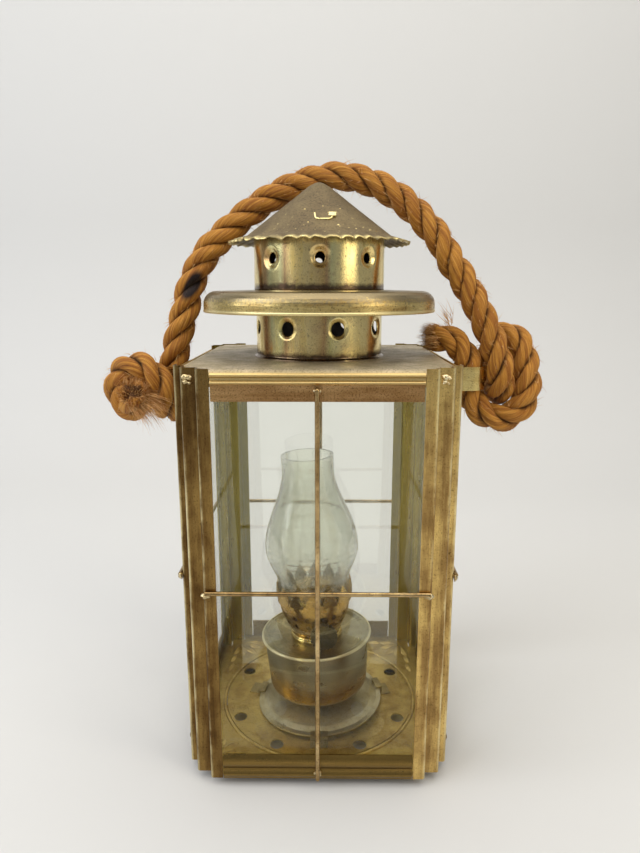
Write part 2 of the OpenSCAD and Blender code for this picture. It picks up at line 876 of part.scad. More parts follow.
// Side directions carried along the route without twist
function carried(t) = [
  for (i = 0, n = unit(cross(t[0], [0.1, 1, 0.2]));
    i < len(t);
    i = i + 1, n = let (d = t[min(i, len(t) - 1)]) unit(n - d * (n * d)))
    n
];

// Rings are [centre, direction, side, radius], and the tube has flat ends
module ring_tube(rings, sides) {
  n = len(rings);
  points = [
    for (g = rings, k = [0:sides - 1])
      g[0] + g[3] * (cos(360 * k / sides) * g[2] + sin(360 * k / sides) * cross(g[1], g[2]))
  ];
  faces = concat(
    [for (k = [1:sides - 2]) [0, k, k + 1]],
    [for (k = [1:sides - 2]) [(n - 1) * sides, (n - 1) * sides + k + 1, (n - 1) * sides + k]],
    [for (i = [0:n - 2], k = [0:sides - 1])
      [i * sides + k, (i + 1) * sides + k, (i + 1) * sides + (k + 1) % sides]],
    [for (i = [0:n - 2], k = [0:sides - 1])
      [i * sides + k, (i + 1) * sides + (k + 1) % sides, i * sides + (k + 1) % sides]]
  );
  polyhedron(points, faces, convexity = 8);
}

rope_sides = 12;
dome_angles = [75, 50, 25];

function plain_rings(p, count, first, last) =
  let (
    us = [for (i = [0:count - 1]) first + (last - first) * i / (count - 1)],
    t = [for (u = us) along(p, u)],
    n = carried(t)
  )
  [for (i = [0:count - 1]) [on_route(p, us[i]), t[i], n[i], rope_r]];

// The handle ends in a ball at each hinge point, so that it turns in its own space
module rope_handle() {
  r = plain_rings(handle_route, 24, 0, len(handle_route) - 1);
  e = r[len(r) - 1];
  rings = concat(
    [for (a = dome_angles) [r[0][0] - r[0][1] * rope_r * sin(a), r[0][1], r[0][2], rope_r * cos(a)]],
    r,
    [for (i = [2:-1:0])
      let (a = dome_angles[i]) [e[0] + e[1] * rope_r * sin(a), e[1], e[2], rope_r * cos(a)]]
  );
  color(rope_brown) ring_tube(rings, rope_sides);
}

// A knotted end starts just clear of the handle's ball
module rope_end(route, count) {
  reach = norm(route[1] - route[0]);
  color(rope_brown)
    ring_tube(plain_rings(route, count, (rope_r + soft_gap) / reach, len(route) - 1), rope_sides);
}

post(-1, -1);  // post_front_left
post(1, -1);  // post_front_right
post(-1, 1);  // post_rear_left
post(1, 1);  // post_rear_right
top_rail(0);  // top_rail_front
top_rail(1);  // top_rail_right
top_rail(2);  // top_rail_rear
top_rail(3);  // top_rail_left
bottom_rail(0);  // bottom_rail_front
bottom_rail(1);  // bottom_rail_right
bottom_rail(2);  // bottom_rail_rear
bottom_rail(3);  // bottom_rail_left
pane(0);  // pane_front
pane(1);  // pane_right
pane(2);  // pane_rear
pane(3);  // pane_left
guard(0, cross_wire_z);  // guard_front
guard(1, side_wire_z);  // guard_right
guard(2, cross_wire_z);  // guard_rear
guard(3, side_wire_z);  // guard_left
solder_dabs();
floor_plate();
base_clips();
base_pan();
foot_claws();
lamp_foot();
tank_body();
tank_top();
filler_collar();
burner_bowl();
chimney_crown();
flame_dome();
wick_tube();
wick();
wick_spindle();
wick_knob();
glass_chimney();
roof_plate();
lower_drum();
brim();
upper_drum();
cone_cap();
cap_tab();
rope_lug(-1);  // rope_lug_left
rope_lug(1);  // rope_lug_right
rope_handle();
rope_end(left_route, 28);  // rope_end_left
rope_end(right_route, 36);  // rope_end_right
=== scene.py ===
import math
import random

import bpy
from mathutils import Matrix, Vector, noise


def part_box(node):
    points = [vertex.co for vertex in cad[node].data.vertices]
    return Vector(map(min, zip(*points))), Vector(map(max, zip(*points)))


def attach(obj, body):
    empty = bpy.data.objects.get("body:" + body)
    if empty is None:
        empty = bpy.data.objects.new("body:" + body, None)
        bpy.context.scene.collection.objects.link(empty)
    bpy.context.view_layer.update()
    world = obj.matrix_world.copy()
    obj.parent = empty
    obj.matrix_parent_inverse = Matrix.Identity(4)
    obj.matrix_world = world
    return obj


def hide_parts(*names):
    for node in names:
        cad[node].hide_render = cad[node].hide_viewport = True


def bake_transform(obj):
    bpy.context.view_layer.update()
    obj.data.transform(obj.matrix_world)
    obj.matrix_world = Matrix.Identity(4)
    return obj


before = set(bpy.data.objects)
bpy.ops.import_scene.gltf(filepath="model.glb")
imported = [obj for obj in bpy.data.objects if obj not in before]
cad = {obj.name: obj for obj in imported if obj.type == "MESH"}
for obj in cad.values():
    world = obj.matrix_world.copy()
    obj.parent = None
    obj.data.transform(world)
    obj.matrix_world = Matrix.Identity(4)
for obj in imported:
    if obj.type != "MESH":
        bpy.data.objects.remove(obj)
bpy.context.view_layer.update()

scene = bpy.context.scene

# Camera. It stands about 29 cm in front of the lantern's middle, at the height of the
# brim, and looks down 12 degrees, as the photograph does.
camera_place = (0.00357, -0.29074, 0.20794)
looks_down, looks_left = 12.18, 0.63
camera_data = bpy.data.cameras.new("camera")
camera_data.sensor_width = 36
camera_data.lens = 27.05
camera_data.clip_start = 0.01
camera = bpy.data.objects.new("camera", camera_data)
camera.location = camera_place
camera.rotation_euler = (math.radians(90 - looks_down), 0, math.radians(looks_left))
scene.collection.objects.link(camera)
scene.camera = camera
scene.view_settings.view_transform = "Standard"


# Rope handle. One length of three-strand manila, right-laid, passes through both
# lugs and is knotted at each end. Its cut ends have opened into a brush of fibre.
MM = 0.001
rope_r = 6.3 * MM
strand_r = 3.0 * MM
strand_out = 3.4 * MM
lay_length = 33 * MM
yarn_pitch = 31 * MM
fibre_relief = 0.36 * MM
route_step = 0.8 * MM
strand_sides = 48
fibre_wide, fibre_long = 0.25 * MM, 6.667 * MM
yarn_wide, yarn_long = 1.154 * MM, 22.22 * MM
stain_at = Vector((-56.6, 0.5, 208.5)) * MM
stain_lean = 30
stain_reach = Vector((3.2, 6, 7.8)) * MM
hinge_left = (-61, 2, 196)
hinge_right = (73, 2, 196)
left_route = [
    (-63.5, 1, 187), (-65.5, 0, 178), (-66.8, 0, 169), (-67, 0.4, 162.5),
    (-67, -2, 157.2), (-67, -7, 155), (-67.3, -12, 157.2), (-67.8, -14.6, 162.5),
    (-70, -15, 169), (-76.5, -13.5, 174.5), (-84, -11.5, 173.5), (-88.5, -9.8, 168),
    (-88.7, -9.5, 161.5), (-85, -11, 157.2), (-81, -15.2, 157.5), (-79.6, -20.5, 161),
    (-78.3, -25, 165.5),
]
arch_route = [
    (-59.5, 3.5, 202), (-58, 5, 209), (-51.8, 8.5, 222), (-42.2, 11.5, 232.8),
    (-31.5, 13, 241.5), (-21.5, 14.5, 248), (-12.5, 16, 252.5), (-2, 17, 256), (8, 17, 257.5),
    (16.5, 17, 256.5), (25, 16, 254), (33.5, 15, 249.5), (41, 14, 244), (48, 12, 237),
    (54, 10, 229.5), (59, 8, 220.5), (64.5, 6, 212), (69.5, 4, 203),
]
right_route = [
    (77, 0, 186.5), (80, -2.5, 178), (81.5, -3.8, 170.5), (82, -2, 164.5),
    (82, 3, 161.7), (82, 8, 163.3), (81.5, 11, 168), (80.5, 12.3, 175), (81.2, 12.5, 181.5),
    (84.5, 11.8, 186.3), (89.3, 9.8, 186.3), (93, 7, 181.5), (94.8, 3.5, 173), (95, 0, 164),
    (93, -2, 157), (88.5, -3, 152), (82, -3, 150), (75.5, -2.5, 152), (70.5, -1, 157),
    (67.7, 0, 164), (67.6, 0, 172), (66, 1.2, 178.5), (62.5, 3, 183.2), (57, 3.5, 185.5),
    (52, 3.5, 186),
]
rope_route = [
    Vector(p) * MM
    for p in left_route[::-1] + [hinge_left] + arch_route + [hinge_right] + right_route
]


def rgb(hex_code):
    """A colour written as sRGB hex, as the linear numbers that a shader takes."""
    parts = [int(hex_code[i:i + 2], 16) / 255 for i in (1, 3, 5)]
    return [c / 12.92 if c < 0.04045 else ((c + 0.055) / 1.055) ** 2.4 for c in parts] + [1]


def put(tree, kind, inputs=None, stops=None, **settings):
    """Adds a node with its settings and links. An input is a value, or the node or socket
    that feeds it, and stops are the places and colours of a colour ramp."""
    n = tree.nodes.new("ShaderNode" + kind)
    for key, value in settings.items():
        setattr(n, key, value)
    for key, value in (inputs or {}).items():
        if isinstance(value, bpy.types.Node):
            value = value.outputs["Result"] if value.bl_idname == "ShaderNodeMix" else value.outputs[0]
        if isinstance(value, bpy.types.NodeSocket):
            tree.links.new(value, n.inputs[key])
        else:
            n.inputs[key].default_value = rgb(value) if isinstance(value, str) else value
    for i, (at, colour) in enumerate(stops or []):
        if i >= len(n.color_ramp.elements):
            n.color_ramp.elements.new(at)
        n.color_ramp.elements[i].position = at
        n.color_ramp.elements[i].color = rgb(colour)
    return n


def new_material(name):
    material = bpy.data.materials.new(name)
    material.use_nodes = True
    material.node_tree.nodes.clear()
    return material, material.node_tree


def finish_material(tree, surface, height=None, bump_mm=0.1):
    """Gives the surface its bump, whose height is in millimetres, and wires the output."""
    if height is not None:
        bump = put(tree, "Bump", {"Height": height, "Strength": 1.0, "Distance": bump_mm * MM})
        tree.links.new(bump.outputs["Normal"], surface.inputs["Normal"])
    put(tree, "OutputMaterial", {"Surface": surface})


def mesh_piece(name, verts, faces, body, materials, replaced=(), smooth=True, lay=None,
               face_material=None):
    """Makes a mesh, puts it on its body, and hides the CAD parts that it stands in for."""
    mesh = bpy.data.meshes.new(name)
    mesh.from_pydata([tuple(v) for v in verts], [], faces)
    if lay is not None:
        layer = mesh.attributes.new("lay", "FLOAT_VECTOR", "POINT")
        layer.data.foreach_set("vector", [c for v in lay for c in v])
    if smooth:
        mesh.shade_smooth()
    else:
        mesh.shade_flat()
    for material in materials:
        mesh.materials.append(material)
    if face_material is not None:
        mesh.polygons.foreach_set("material_index", face_material)
    obj = bpy.data.objects.new(name, mesh)
    scene.collection.objects.link(obj)
    if body:
        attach(obj, body)
    if replaced:
        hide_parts(*replaced)
    return obj


def smooth_route(points, step):
    """A Catmull-Rom curve through the points, cut into even steps."""
    dense, cuts = [], 24
    for i in range(len(points) - 1):
        a, b = points[max(i - 1, 0)], points[i]
        c, d = points[i + 1], points[min(i + 2, len(points) - 1)]
        for k in range(cuts):
            t = k / cuts
            dense.append(0.5 * (2 * b + (c - a) * t + (2 * a - 5 * b + 4 * c - d) * t * t
                                + (3 * b - a - 3 * c + d) * t ** 3))
    dense.append(points[-1].copy())
    lengths = [0.0]
    for p, q in zip(dense, dense[1:]):
        lengths.append(lengths[-1] + (q - p).length)
    count = max(2, round(lengths[-1] / step))
    even, i = [], 0
    for k in range(count + 1):
        target = lengths[-1] * k / count
        while i < len(lengths) - 2 and lengths[i + 1] < target:
            i += 1
        share = (target - lengths[i]) / max(lengths[i + 1] - lengths[i], 1e-9)
        even.append(dense[i].lerp(dense[i + 1], share))
    return even, lengths[-1]


def carried_frames(path, up=Vector((0.1, 1, 0.2))):
    """The direction and two side directions at each point, carried along without twist."""
    frames, side = [], up
    for i in range(len(path)):
        ahead = (path[min(i + 1, len(path) - 1)] - path[max(i - 1, 0)]).normalized()
        side = (side - ahead * side.dot(ahead)).normalized()
        frames.append((ahead, side, ahead.cross(side)))
    return frames


def tube(path, radius_at, sides, start, lay_at):
    """Vertices and faces of a closed tube, with the lay coordinates of each vertex."""
    frames = carried_frames(path)
    verts, lay, run = [], [], 0.0
    for i, p in enumerate(path):
        if i:
            run += (p - path[i - 1]).length
        _, side, over = frames[i]
        for k in range(sides):
            a = 2 * math.pi * k / sides
            verts.append(p + (side * math.cos(a) + over * math.sin(a)) * radius_at(i, a, run))
            lay.append(lay_at(a, run))
    faces = [tuple(start + k for k in reversed(range(sides)))]
    for i in range(len(path) - 1):
        low, high = start + i * sides, start + (i + 1) * sides
        for k in range(sides):
            nxt = (k + 1) % sides
            faces.append((low + k, low + nxt, high + nxt, high + k))
    last = start + (len(path) - 1) * sides
    faces.append(tuple(last + k for k in range(sides)))
    return verts, faces, lay


rope_path, rope_length = smooth_route(rope_route, route_step)
rope_frames = carried_frames(rope_path)


def strand_path(turn):
    """The centreline of one strand, a right-handed helix about the rope's route."""
    points, run = [], 0.0
    for i, p in enumerate(rope_path):
        if i:
            run += (p - rope_path[i - 1]).length
        _, side, over = rope_frames[i]
        a = 2 * math.pi * (turn / 3 + run / lay_length)
        points.append(p + (side * math.cos(a) + over * math.sin(a)) * strand_out)
    return points


def yarn_lay(a, run):
    """Where a point lies on a strand whose yarns are twisted against the rope's lay, so
    that the fibres come out nearly in line with the rope."""
    turned = a + 2 * math.pi * run / yarn_pitch
    return (math.cos(turned), math.sin(turned), run)


def strand_radius(i, a, run):
    """A strand's radius: bundles of fibre stand up along it, and it swells and thins."""
    x, y, _ = yarn_lay(a, run)
    bundles = noise.noise(Vector((x * 2.6, y * 2.6, run * 60)))
    fine = noise.noise(Vector((x * 6.5, y * 6.5, run * 110 + 9)))
    swell = noise.noise(Vector((run * 40, 3.7, 0)))
    return strand_r + fibre_relief * (bundles + 0.55 * fine) + 0.12 * MM * swell


def manila(name, deep, mid, light, tip, shades_grooves):
    """Manila fibre: coarse, silky, orange-brown. Fibres run along each yarn, with pale
    broken ends and a soft sheen. On a whole rope, painted shade darkens the grooves between the strands.
    They are drawn a little coarser than most real ones, so that they show."""
    material, tree = new_material(name)
    lay = put(tree, "Attribute", attribute_name="lay").outputs["Vector"]
    place = put(tree, "TexCoord").outputs["Object"]
    fine = put(tree, "Mapping", {
        "Vector": lay, "Scale": (strand_r / fibre_wide, strand_r / fibre_wide, 1 / fibre_long)})
    fibres = put(tree, "TexNoise", {"Vector": fine, "Scale": 1.0, "Detail": 6.0, "Roughness": 0.75})
    broad = put(tree, "Mapping", {
        "Vector": lay, "Scale": (strand_r / yarn_wide, strand_r / yarn_wide, 1 / yarn_long)})
    bundles = put(tree, "TexNoise", {"Vector": broad, "Scale": 1.0, "Detail": 2.0})
    tone = put(tree, "ValToRGB", {"Fac": fibres}, [(0.3, deep), (0.42, mid), (0.56, light), (0.74, tip)])
    shade = put(tree, "ValToRGB", {"Fac": bundles}, [(0.35, "#a87c52"), (0.6, "#ffffff")])
    mixed = put(tree, "Mix", {"Factor": 0.7, "A": tone, "B": shade}, data_type="RGBA",
                blend_type="MULTIPLY")
    # Painted shade: the grooves between the strands, where the crown is low, are darkened.
    if shades_grooves:
        crown = put(tree, "Attribute", attribute_name="crown").outputs["Fac"]
        painted_groove_shade = put(tree, "ValToRGB", {"Fac": crown}, [(0.25, "#43260f"), (0.7, "#ffffff")])
        mixed = put(tree, "Mix", {"Factor": 0.85, "A": mixed, "B": painted_groove_shade}, data_type="RGBA",
                    blend_type="MULTIPLY")
    in_stain = put(tree, "Mapping", {
        "Vector": place, "Location": stain_at, "Rotation": (0, math.radians(stain_lean), 0),
        "Scale": stain_reach}, vector_type="TEXTURE")
    from_stain = put(tree, "VectorMath", {0: in_stain}, operation="LENGTH").outputs["Value"]
    stain = put(tree, "MapRange", {"Value": from_stain, "From Min": 0.7, "From Max": 1.15,
                                   "To Min": 2.4, "To Max": 0.0})
    ragged = put(tree, "Math", {0: stain, 1: fibres}, operation="MULTIPLY", use_clamp=True)
    stained = put(tree, "Mix", {"Factor": ragged, "A": mixed, "B": "#1c0f10"}, data_type="RGBA")
    surface = put(tree, "BsdfPrincipled", {
        "Base Color": stained, "Roughness": 0.68, "IOR": 1.53, "Specular IOR Level": 0.3,
        "Sheen Weight": 0.15, "Sheen Roughness": 0.4, "Sheen Tint": "#e8bf80"})
    finish_material(tree, surface, fibres, 0.5)
    return material


rope_fibre = manila("manila_fibre", "#58330f", "#aa6e20", "#ce9238", "#e8be74", True)
loose_fibre = manila("manila_loose_fibre", "#a8702f", "#d29a55", "#ecc282", "#fae3b4", False)
rope_verts, rope_faces, rope_lay, rope_crown = [], [], [], []
for strand in range(3):
    v, f, lay = tube(strand_path(strand), strand_radius, strand_sides, len(rope_verts), yarn_lay)
    for i, point in enumerate(v):
        from_middle = (point - rope_path[i // strand_sides]).length
        rope_crown.append((from_middle - strand_r) / (rope_r - strand_r))
    rope_verts += v
    rope_faces += f
    rope_lay += lay
rope = mesh_piece("rope", rope_verts, rope_faces, None, [rope_fibre],
                  ("rope_handle", "rope_end_left", "rope_end_right"), lay=rope_lay)
rope.data.attributes.new("crown", "FLOAT", "POINT").data.foreach_set("value", rope_crown)


# Frayed fibres. Each cut end of the rope has opened into a brush, and short broken
# fibres stand out along its whole length.
def fibre_bundle(name, roots, seed, body, material):
    """Thin tapered fibres. A root is (point, direction, spread, length, droop, radius)."""
    rng = random.Random(seed)
    verts, faces, lay = [], [], []
    steps, fibre_sides = 5, 4
    for point, direction, spread, length, droop, radius in roots:
        wander = Vector([rng.gauss(0, 1) for _ in range(3)])
        ahead = (direction.normalized() + wander * spread).normalized()
        curl = Vector([rng.gauss(0, 1) for _ in range(3)]) * droop
        path = []
        for k in range(steps + 1):
            t = k / steps
            path.append(point + ahead * length * t + curl * length * t * t
                        + Vector((0, 0, -1)) * droop * length * t * t)
        shift = rng.uniform(0, 9)
        v, f, at = tube(path, lambda i, a, run: radius * (1.05 - i / steps), fibre_sides,
                        len(verts), lambda a, run: (shift, shift * 0.7, run))
        verts += v
        faces += f
        lay += at
    return mesh_piece(name, verts, faces, body, [material], lay=lay)


def brush_roots(rng, end, ahead, lean, count, length, droop, gather):
    """Fibres that leave the cut end of the rope, fan out and lean to one side. They gather
    towards the middle of the brush where gather is above 0."""
    side = ahead.orthogonal().normalized()
    over = ahead.cross(side)
    roots = []
    for _ in range(count):
        a, share = rng.uniform(0, 2 * math.pi), math.sqrt(rng.random())
        out = side * math.cos(a) + over * math.sin(a)
        point = end + out * (rope_r * 0.92 * share) - ahead * rng.uniform(0, 2.5 * MM)
        roots.append((point, ahead + out * (0.7 - gather) * share + lean, 0.2,
                      length * rng.uniform(0.45, 1.15) * (1 - 0.4 * gather * share), droop,
                      rng.uniform(0.09, 0.19) * MM))
    return roots


fray = random.Random(5)
left_core, left_fringe = 420, 520
right_brush, right_wisps = 700, 30
left_end, right_end = rope_path[0], rope_path[-1]
left_out = (rope_path[0] - rope_path[3]).normalized()
right_out = (rope_path[-1] - rope_path[-4]).normalized()
left_roots = brush_roots(fray, left_end, left_out, Vector((0.1, 0, -0.2)),
                         left_core, 4.5 * MM, 0.1, 0)
left_roots += brush_roots(fray, left_end + Vector((2.5, 0.5, -2.5)) * MM, left_out,
                          Vector((1.2, 0.35, -1.5)), left_fringe, 10 * MM, 0.12, 0)
left_fray = fibre_bundle("frayed_fibres_left", left_roots, 6, "lantern", loose_fibre)
right_roots = brush_roots(fray, right_end, right_out, Vector((0, 0, 0.15)),
                          right_brush, 8.5 * MM, 0.06, 0.75)
right_roots += brush_roots(fray, right_end + Vector((5, -3, 5)) * MM, right_out,
                           Vector((0.2, -0.1, 0.9)), right_wisps, 9 * MM, 0.1, 0)
right_fray = fibre_bundle("frayed_fibres_right", right_roots, 7, "lantern", loose_fibre)
stray_roots = []
strays, clear_of_ends = 2300, 20
for _ in range(strays):
    at = fray.randrange(clear_of_ends, len(rope_path) - clear_of_ends)
    ahead, side, over = rope_frames[at]
    a = fray.uniform(0, 2 * math.pi)
    out = side * math.cos(a) + over * math.sin(a)
    stray_roots.append((rope_path[at] + out * (rope_r - 0.8 * MM),
                        out * fray.uniform(0.3, 1.0) + ahead * fray.choice((-1, 1)), 0.35,
                        fray.uniform(1.2, 4.2) * MM, 0.2, fray.uniform(0.07, 0.14) * MM))
stray_fibres = fibre_bundle("stray_fibres", stray_roots, 8, None, loose_fibre)

# The rope and the stray fibres are baked into place.
for part in (rope, stray_fibres):
    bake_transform(part)


# Corner posts. Each is one sheet of rolled brass, folded in two steps and soldered to the
# rails. Handling has browned the faces and polished the folds, which carry a painted highlight; painted
# shade makes the left side darker.
half_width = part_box("post_front_right")[1][0]
post_leg, post_step = 10.5 * MM, 4 * MM
post_folds = ((half_width - post_leg, half_width), (half_width - post_step, half_width - post_step),
              (half_width, half_width - post_leg))
cloud_size, pit_gap = 14.29 * MM, 0.6667 * MM


def sheet_brass(name, clean, aged, dark, share, streak, specks=0.5):
    """Sheet brass with a clean tone, and an aged and a dark tone in clouds and in streaks
    along the way it was rolled or spun. A streak's three sizes are in millimetres."""
    material, tree = new_material(name)
    place = put(tree, "TexCoord").outputs["Object"]
    cloud = put(tree, "TexNoise", {"Vector": place, "Scale": 1 / cloud_size, "Detail": 6.0,
                                   "Roughness": 0.65})
    drawn = put(tree, "Mapping", {"Vector": place, "Scale": [1 / (size * MM) for size in streak]})
    streaks = put(tree, "TexNoise", {"Vector": drawn, "Scale": 1.0, "Detail": 5.0, "Roughness": 0.65})
    grain = put(tree, "TexNoise", {"Vector": place, "Scale": 1 / pit_gap, "Detail": 3.0,
                                   "Roughness": 0.7})
    both = put(tree, "Mix", {"Factor": 0.62, "A": cloud, "B": streaks}, data_type="FLOAT")
    low = 0.5 - 0.2 * share
    tone = put(tree, "ValToRGB", {"Fac": both}, [(low, clean), (low + 0.14, aged), (low + 0.3, dark)])
    pits = put(tree, "ValToRGB", {"Fac": grain}, [(0.34, "#3a2c1c"), (0.34 + 0.14 * specks, "#ffffff")])
    colour = put(tree, "Mix", {"Factor": 0.7, "A": tone, "B": pits}, data_type="RGBA",
                 blend_type="MULTIPLY")
    return material, tree, place, colour, both, grain


def finish_brass(tree, colour, wear, grain, roughness, bump_mm, bare=1.0):
    """Metal that is rougher where it is aged. Under dust, less of it is bare."""
    rough = put(tree, "MapRange", {"Value": wear, "From Min": 0.35, "From Max": 0.65,
                                   "To Min": roughness - 0.07, "To Max": roughness + 0.15})
    surface = put(tree, "BsdfPrincipled", {"Base Color": colour, "Metallic": bare, "Roughness": rough})
    finish_material(tree, surface, grain, bump_mm)


def dress(nodes, material):
    """Gives CAD pieces their material."""
    for n in nodes:
        cad[n].data.materials.clear()
        cad[n].data.materials.append(material)
        for polygon in cad[n].data.polygons:
            polygon.material_index = 0


folded_brass, tree, place, colour, wear, grain = sheet_brass(
    "folded_sheet_brass", "#dec688", "#a0865a", "#5a4830", 0.4, (4.762, 4.762, 66.7), 0.7)
across = put(tree, "SeparateXYZ", {"Vector": place})
# Painted shade: the posts grow darker towards the left side.
left_shade_mask = put(tree, "MapRange", {"Value": across.outputs["X"], "From Min": 20 * MM,
                                   "From Max": -20 * MM})
painted_left_shade = put(tree, "Mix", {"Factor": left_shade_mask, "A": "#fff4dc", "B": "#a69680"}, data_type="RGBA")
colour = put(tree, "Mix", {"Factor": 1.0, "A": colour, "B": painted_left_shade}, data_type="RGBA",
             blend_type="MULTIPLY")
# Painted reflection: the inner faces of the rear posts, seen through the glass, are tinted olive.
rear_reflection_mask = put(tree, "MapRange", {"Value": across.outputs["Y"], "From Min": 0.0,
                                   "From Max": 20 * MM})
facing = put(tree, "VectorMath", {0: place, 1: put(tree, "NewGeometry").outputs["Normal"]},
             operation="DOT_PRODUCT").outputs["Value"]
inward = put(tree, "MapRange", {"Value": facing, "From Min": 0.0, "From Max": -5 * MM})
rear_reflection_mask = put(tree, "Math", {0: rear_reflection_mask, 1: inward}, operation="MULTIPLY")
painted_olive_reflection = put(tree, "Mix", {"Factor": 0.75, "A": colour, "B": "#a89c50"}, data_type="RGBA")
colour = put(tree, "Mix", {"Factor": rear_reflection_mask, "A": colour, "B": painted_olive_reflection}, data_type="RGBA")
plan = put(tree, "VectorMath", {0: place}, operation="ABSOLUTE")
plan = put(tree, "VectorMath", {0: plan, 1: (1, 1, 0)}, operation="MULTIPLY")
nearest = None
for fold in post_folds:
    away = put(tree, "VectorMath", {0: plan, 1: (*fold, 0)}, operation="DISTANCE").outputs["Value"]
    if nearest is None:
        nearest = away
    else:
        nearest = put(tree, "Math", {0: nearest, 1: away}, operation="MINIMUM")
# The convex folds are painted pale where worn: partly polished brass, partly painted highlight.
fold_polish_and_highlight = put(tree, "MapRange", {"Value": nearest, "From Min": 0.5 * MM, "From Max": 1.3 * MM,
                                     "To Min": 1.0, "To Max": 0.0})
worn = put(tree, "MapRange", {"Value": wear, "From Min": 0.56, "From Max": 0.42, "To Max": 0.75})
fold_polish_and_highlight = put(tree, "Math", {0: fold_polish_and_highlight, 1: worn}, operation="MULTIPLY")
colour = put(tree, "Mix", {"Factor": fold_polish_and_highlight, "A": colour, "B": "#f8ecb8"}, data_type="RGBA")
finish_brass(tree, colour, wear, grain, 0.27, 0.03)
dress(["post_front_left", "post_front_right", "post_rear_left", "post_rear_right"], folded_brass)

# Rails. Bands of the same brass are rolled with two beads and soldered between the posts.
# The flat of each band has a coarse brown grain, and the beads are rubbed to gold.
top_rail_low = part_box("top_rail_front")[0][2]
four_sides = ("front", "right", "rear", "left")
rail_brass, tree, place, colour, wear, grain = sheet_brass(
    "rolled_rail_brass", "#c69e6a", "#a47c4e", "#5f452a", 0.4, (41.7, 41.7, 4.762), 1.1)
height = put(tree, "SeparateXYZ", {"Vector": place}).outputs["Z"]
high_bead = put(tree, "MapRange", {"Value": height, "From Min": top_rail_low + 6.0 * MM,
                                   "From Max": top_rail_low + 6.6 * MM})
low_bead = put(tree, "MapRange", {"Value": height, "From Min": 30 * MM, "From Max": 20 * MM})
beads = put(tree, "Math", {0: high_bead, 1: low_bead}, operation="MAXIMUM")
rubbed = put(tree, "Math", {0: beads, 1: 0.6}, operation="MULTIPLY")
colour = put(tree, "Mix", {"Factor": rubbed, "A": colour, "B": "#d6c184"}, data_type="RGBA")
shaded = put(tree, "Mix", {"Factor": low_bead, "A": "#ffffff", "B": "#a89e84"}, data_type="RGBA")
colour = put(tree, "Mix", {"Factor": 1.0, "A": colour, "B": shaded}, data_type="RGBA",
             blend_type="MULTIPLY")
finish_brass(tree, colour, wear, grain, 0.3, 0.06)
dress([f"{rail}_rail_{side}" for rail in ("top", "bottom") for side in four_sides], rail_brass)

# Window glass. Four panes of thin sheet glass stand behind the frames, and the chimney is
# blown. Both are clear, with a faint waviness and a slight green cast.
wave_gap = 16.67 * MM


def clear_glass(name, tint, wave_mm, body):
    """Soda-lime glass with sharp reflections and hardly any colour. A flat pane shifts
    nothing that is seen through it, so most of it lets light straight by."""
    material, tree = new_material(name)
    place = put(tree, "TexCoord").outputs["Object"]
    waves = put(tree, "TexNoise", {"Vector": place, "Scale": 1 / wave_gap, "Detail": 1.0})
    surface = put(tree, "BsdfPrincipled", {
        "Base Color": tint, "Roughness": 0.0, "IOR": 1.5, "Transmission Weight": 1.0, "Alpha": body})
    finish_material(tree, surface, waves, wave_mm)
    return material


panes = [f"pane_{side}" for side in four_sides]
dress(panes, clear_glass("sheet_glass", "#dfe8d0", 0.01, 0.16))
dress(["glass_chimney"], clear_glass("blown_glass", "#eef0e4", 0.03, 0.75))

# Light goes straight through the glass here, so it casts no shadow.
for n in panes + ["glass_chimney"]:
    cad[n].visible_shadow = False

# Wire guards. Soft brass wire is laid over the flanges, upright over cross wire, and its
# ends and crossings are held with solder.
wire_brass, tree, place, colour, wear, grain = sheet_brass(
    "drawn_brass_wire", "#d4ba88", "#a3875a", "#4c3a27", 0.5, (16.67, 16.67, 16.67), 0.8)
finish_brass(tree, colour, wear, grain, 0.16, 0.05)
dress([f"guard_{side}" for side in four_sides], wire_brass)


# Solder. Tin-lead solder stands in lumpy dabs near the top of each post, and in small
# beads where the wires touch the case. It has stayed brighter than the brass.
def lump(verts, faces, centre, outward, wide, high, deep, seed):
    """Adds an uneven flattened dome on a face that looks outward."""
    outward = Vector(outward)
    across = outward.cross(Vector((0, 0, 1))).normalized()
    start, rings, sides = len(verts), 5, 20
    for i in range(rings + 1):
        tilt = math.pi / 2 * i / rings
        for k in range(sides):
            a = 2 * math.pi * k / sides
            rough = 1 + 0.45 * noise.noise(Vector((math.cos(a) * 1.4 + seed, math.sin(a) * 1.4, tilt)))
            spread = math.cos(tilt) * rough
            verts.append(Vector(centre) + across * (math.cos(a) * wide * spread)
                         + Vector((0, 0, 1)) * (math.sin(a) * high * spread)
                         + outward * (deep * math.sin(tilt) * rough))
    for i in range(rings):
        for k in range(sides):
            nxt = (k + 1) % sides
            faces.append((start + i * sides + k, start + i * sides + nxt,
                          start + (i + 1) * sides + nxt, start + (i + 1) * sides + k))
    faces.append(tuple(start + k for k in reversed(range(sides))))


solder, tree, place, colour, wear, grain = sheet_brass(
    "tin_lead_solder", "#f0e6c4", "#cdb98a", "#8a7a58", 0.5, (8.333, 8.333, 8.333), 0.6)
finish_brass(tree, colour, wear, grain, 0.24, 0.12)
dab_low, dab_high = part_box("solder_dabs")
dab_z = (dab_low[2] + dab_high[2]) / 2
dab_x = half_width - (post_leg + post_step) / 2
dab_y = half_width - post_step
dab_lumps = ((-0.9, 0.9, 1.5), (0.5, 0.7, 1.2), (-1.1, -0.9, 1.1), (0.4, -1.3, 0.8))
dab_verts, dab_faces = [], []
for sx in (-1, 1):
    for sy in (-1, 1):
        for i, (dx, dz, size) in enumerate(dab_lumps):
            lump(dab_verts, dab_faces, (sx * dab_x + dx * MM, sy * (dab_y - 0.05 * MM), dab_z + dz * MM),
                 (0, sy, 0), size * MM, size * 0.8 * MM, 0.7 * MM, i + 3 * sx + 7 * sy)
mesh_piece("solder_lumps", dab_verts, dab_faces, "lantern", [solder], ("solder_dabs",))
front_cross, side_cross = 83.0 * MM, 85.8 * MM
cross_reach = 44.5 * MM
bead_verts, bead_faces = [], []
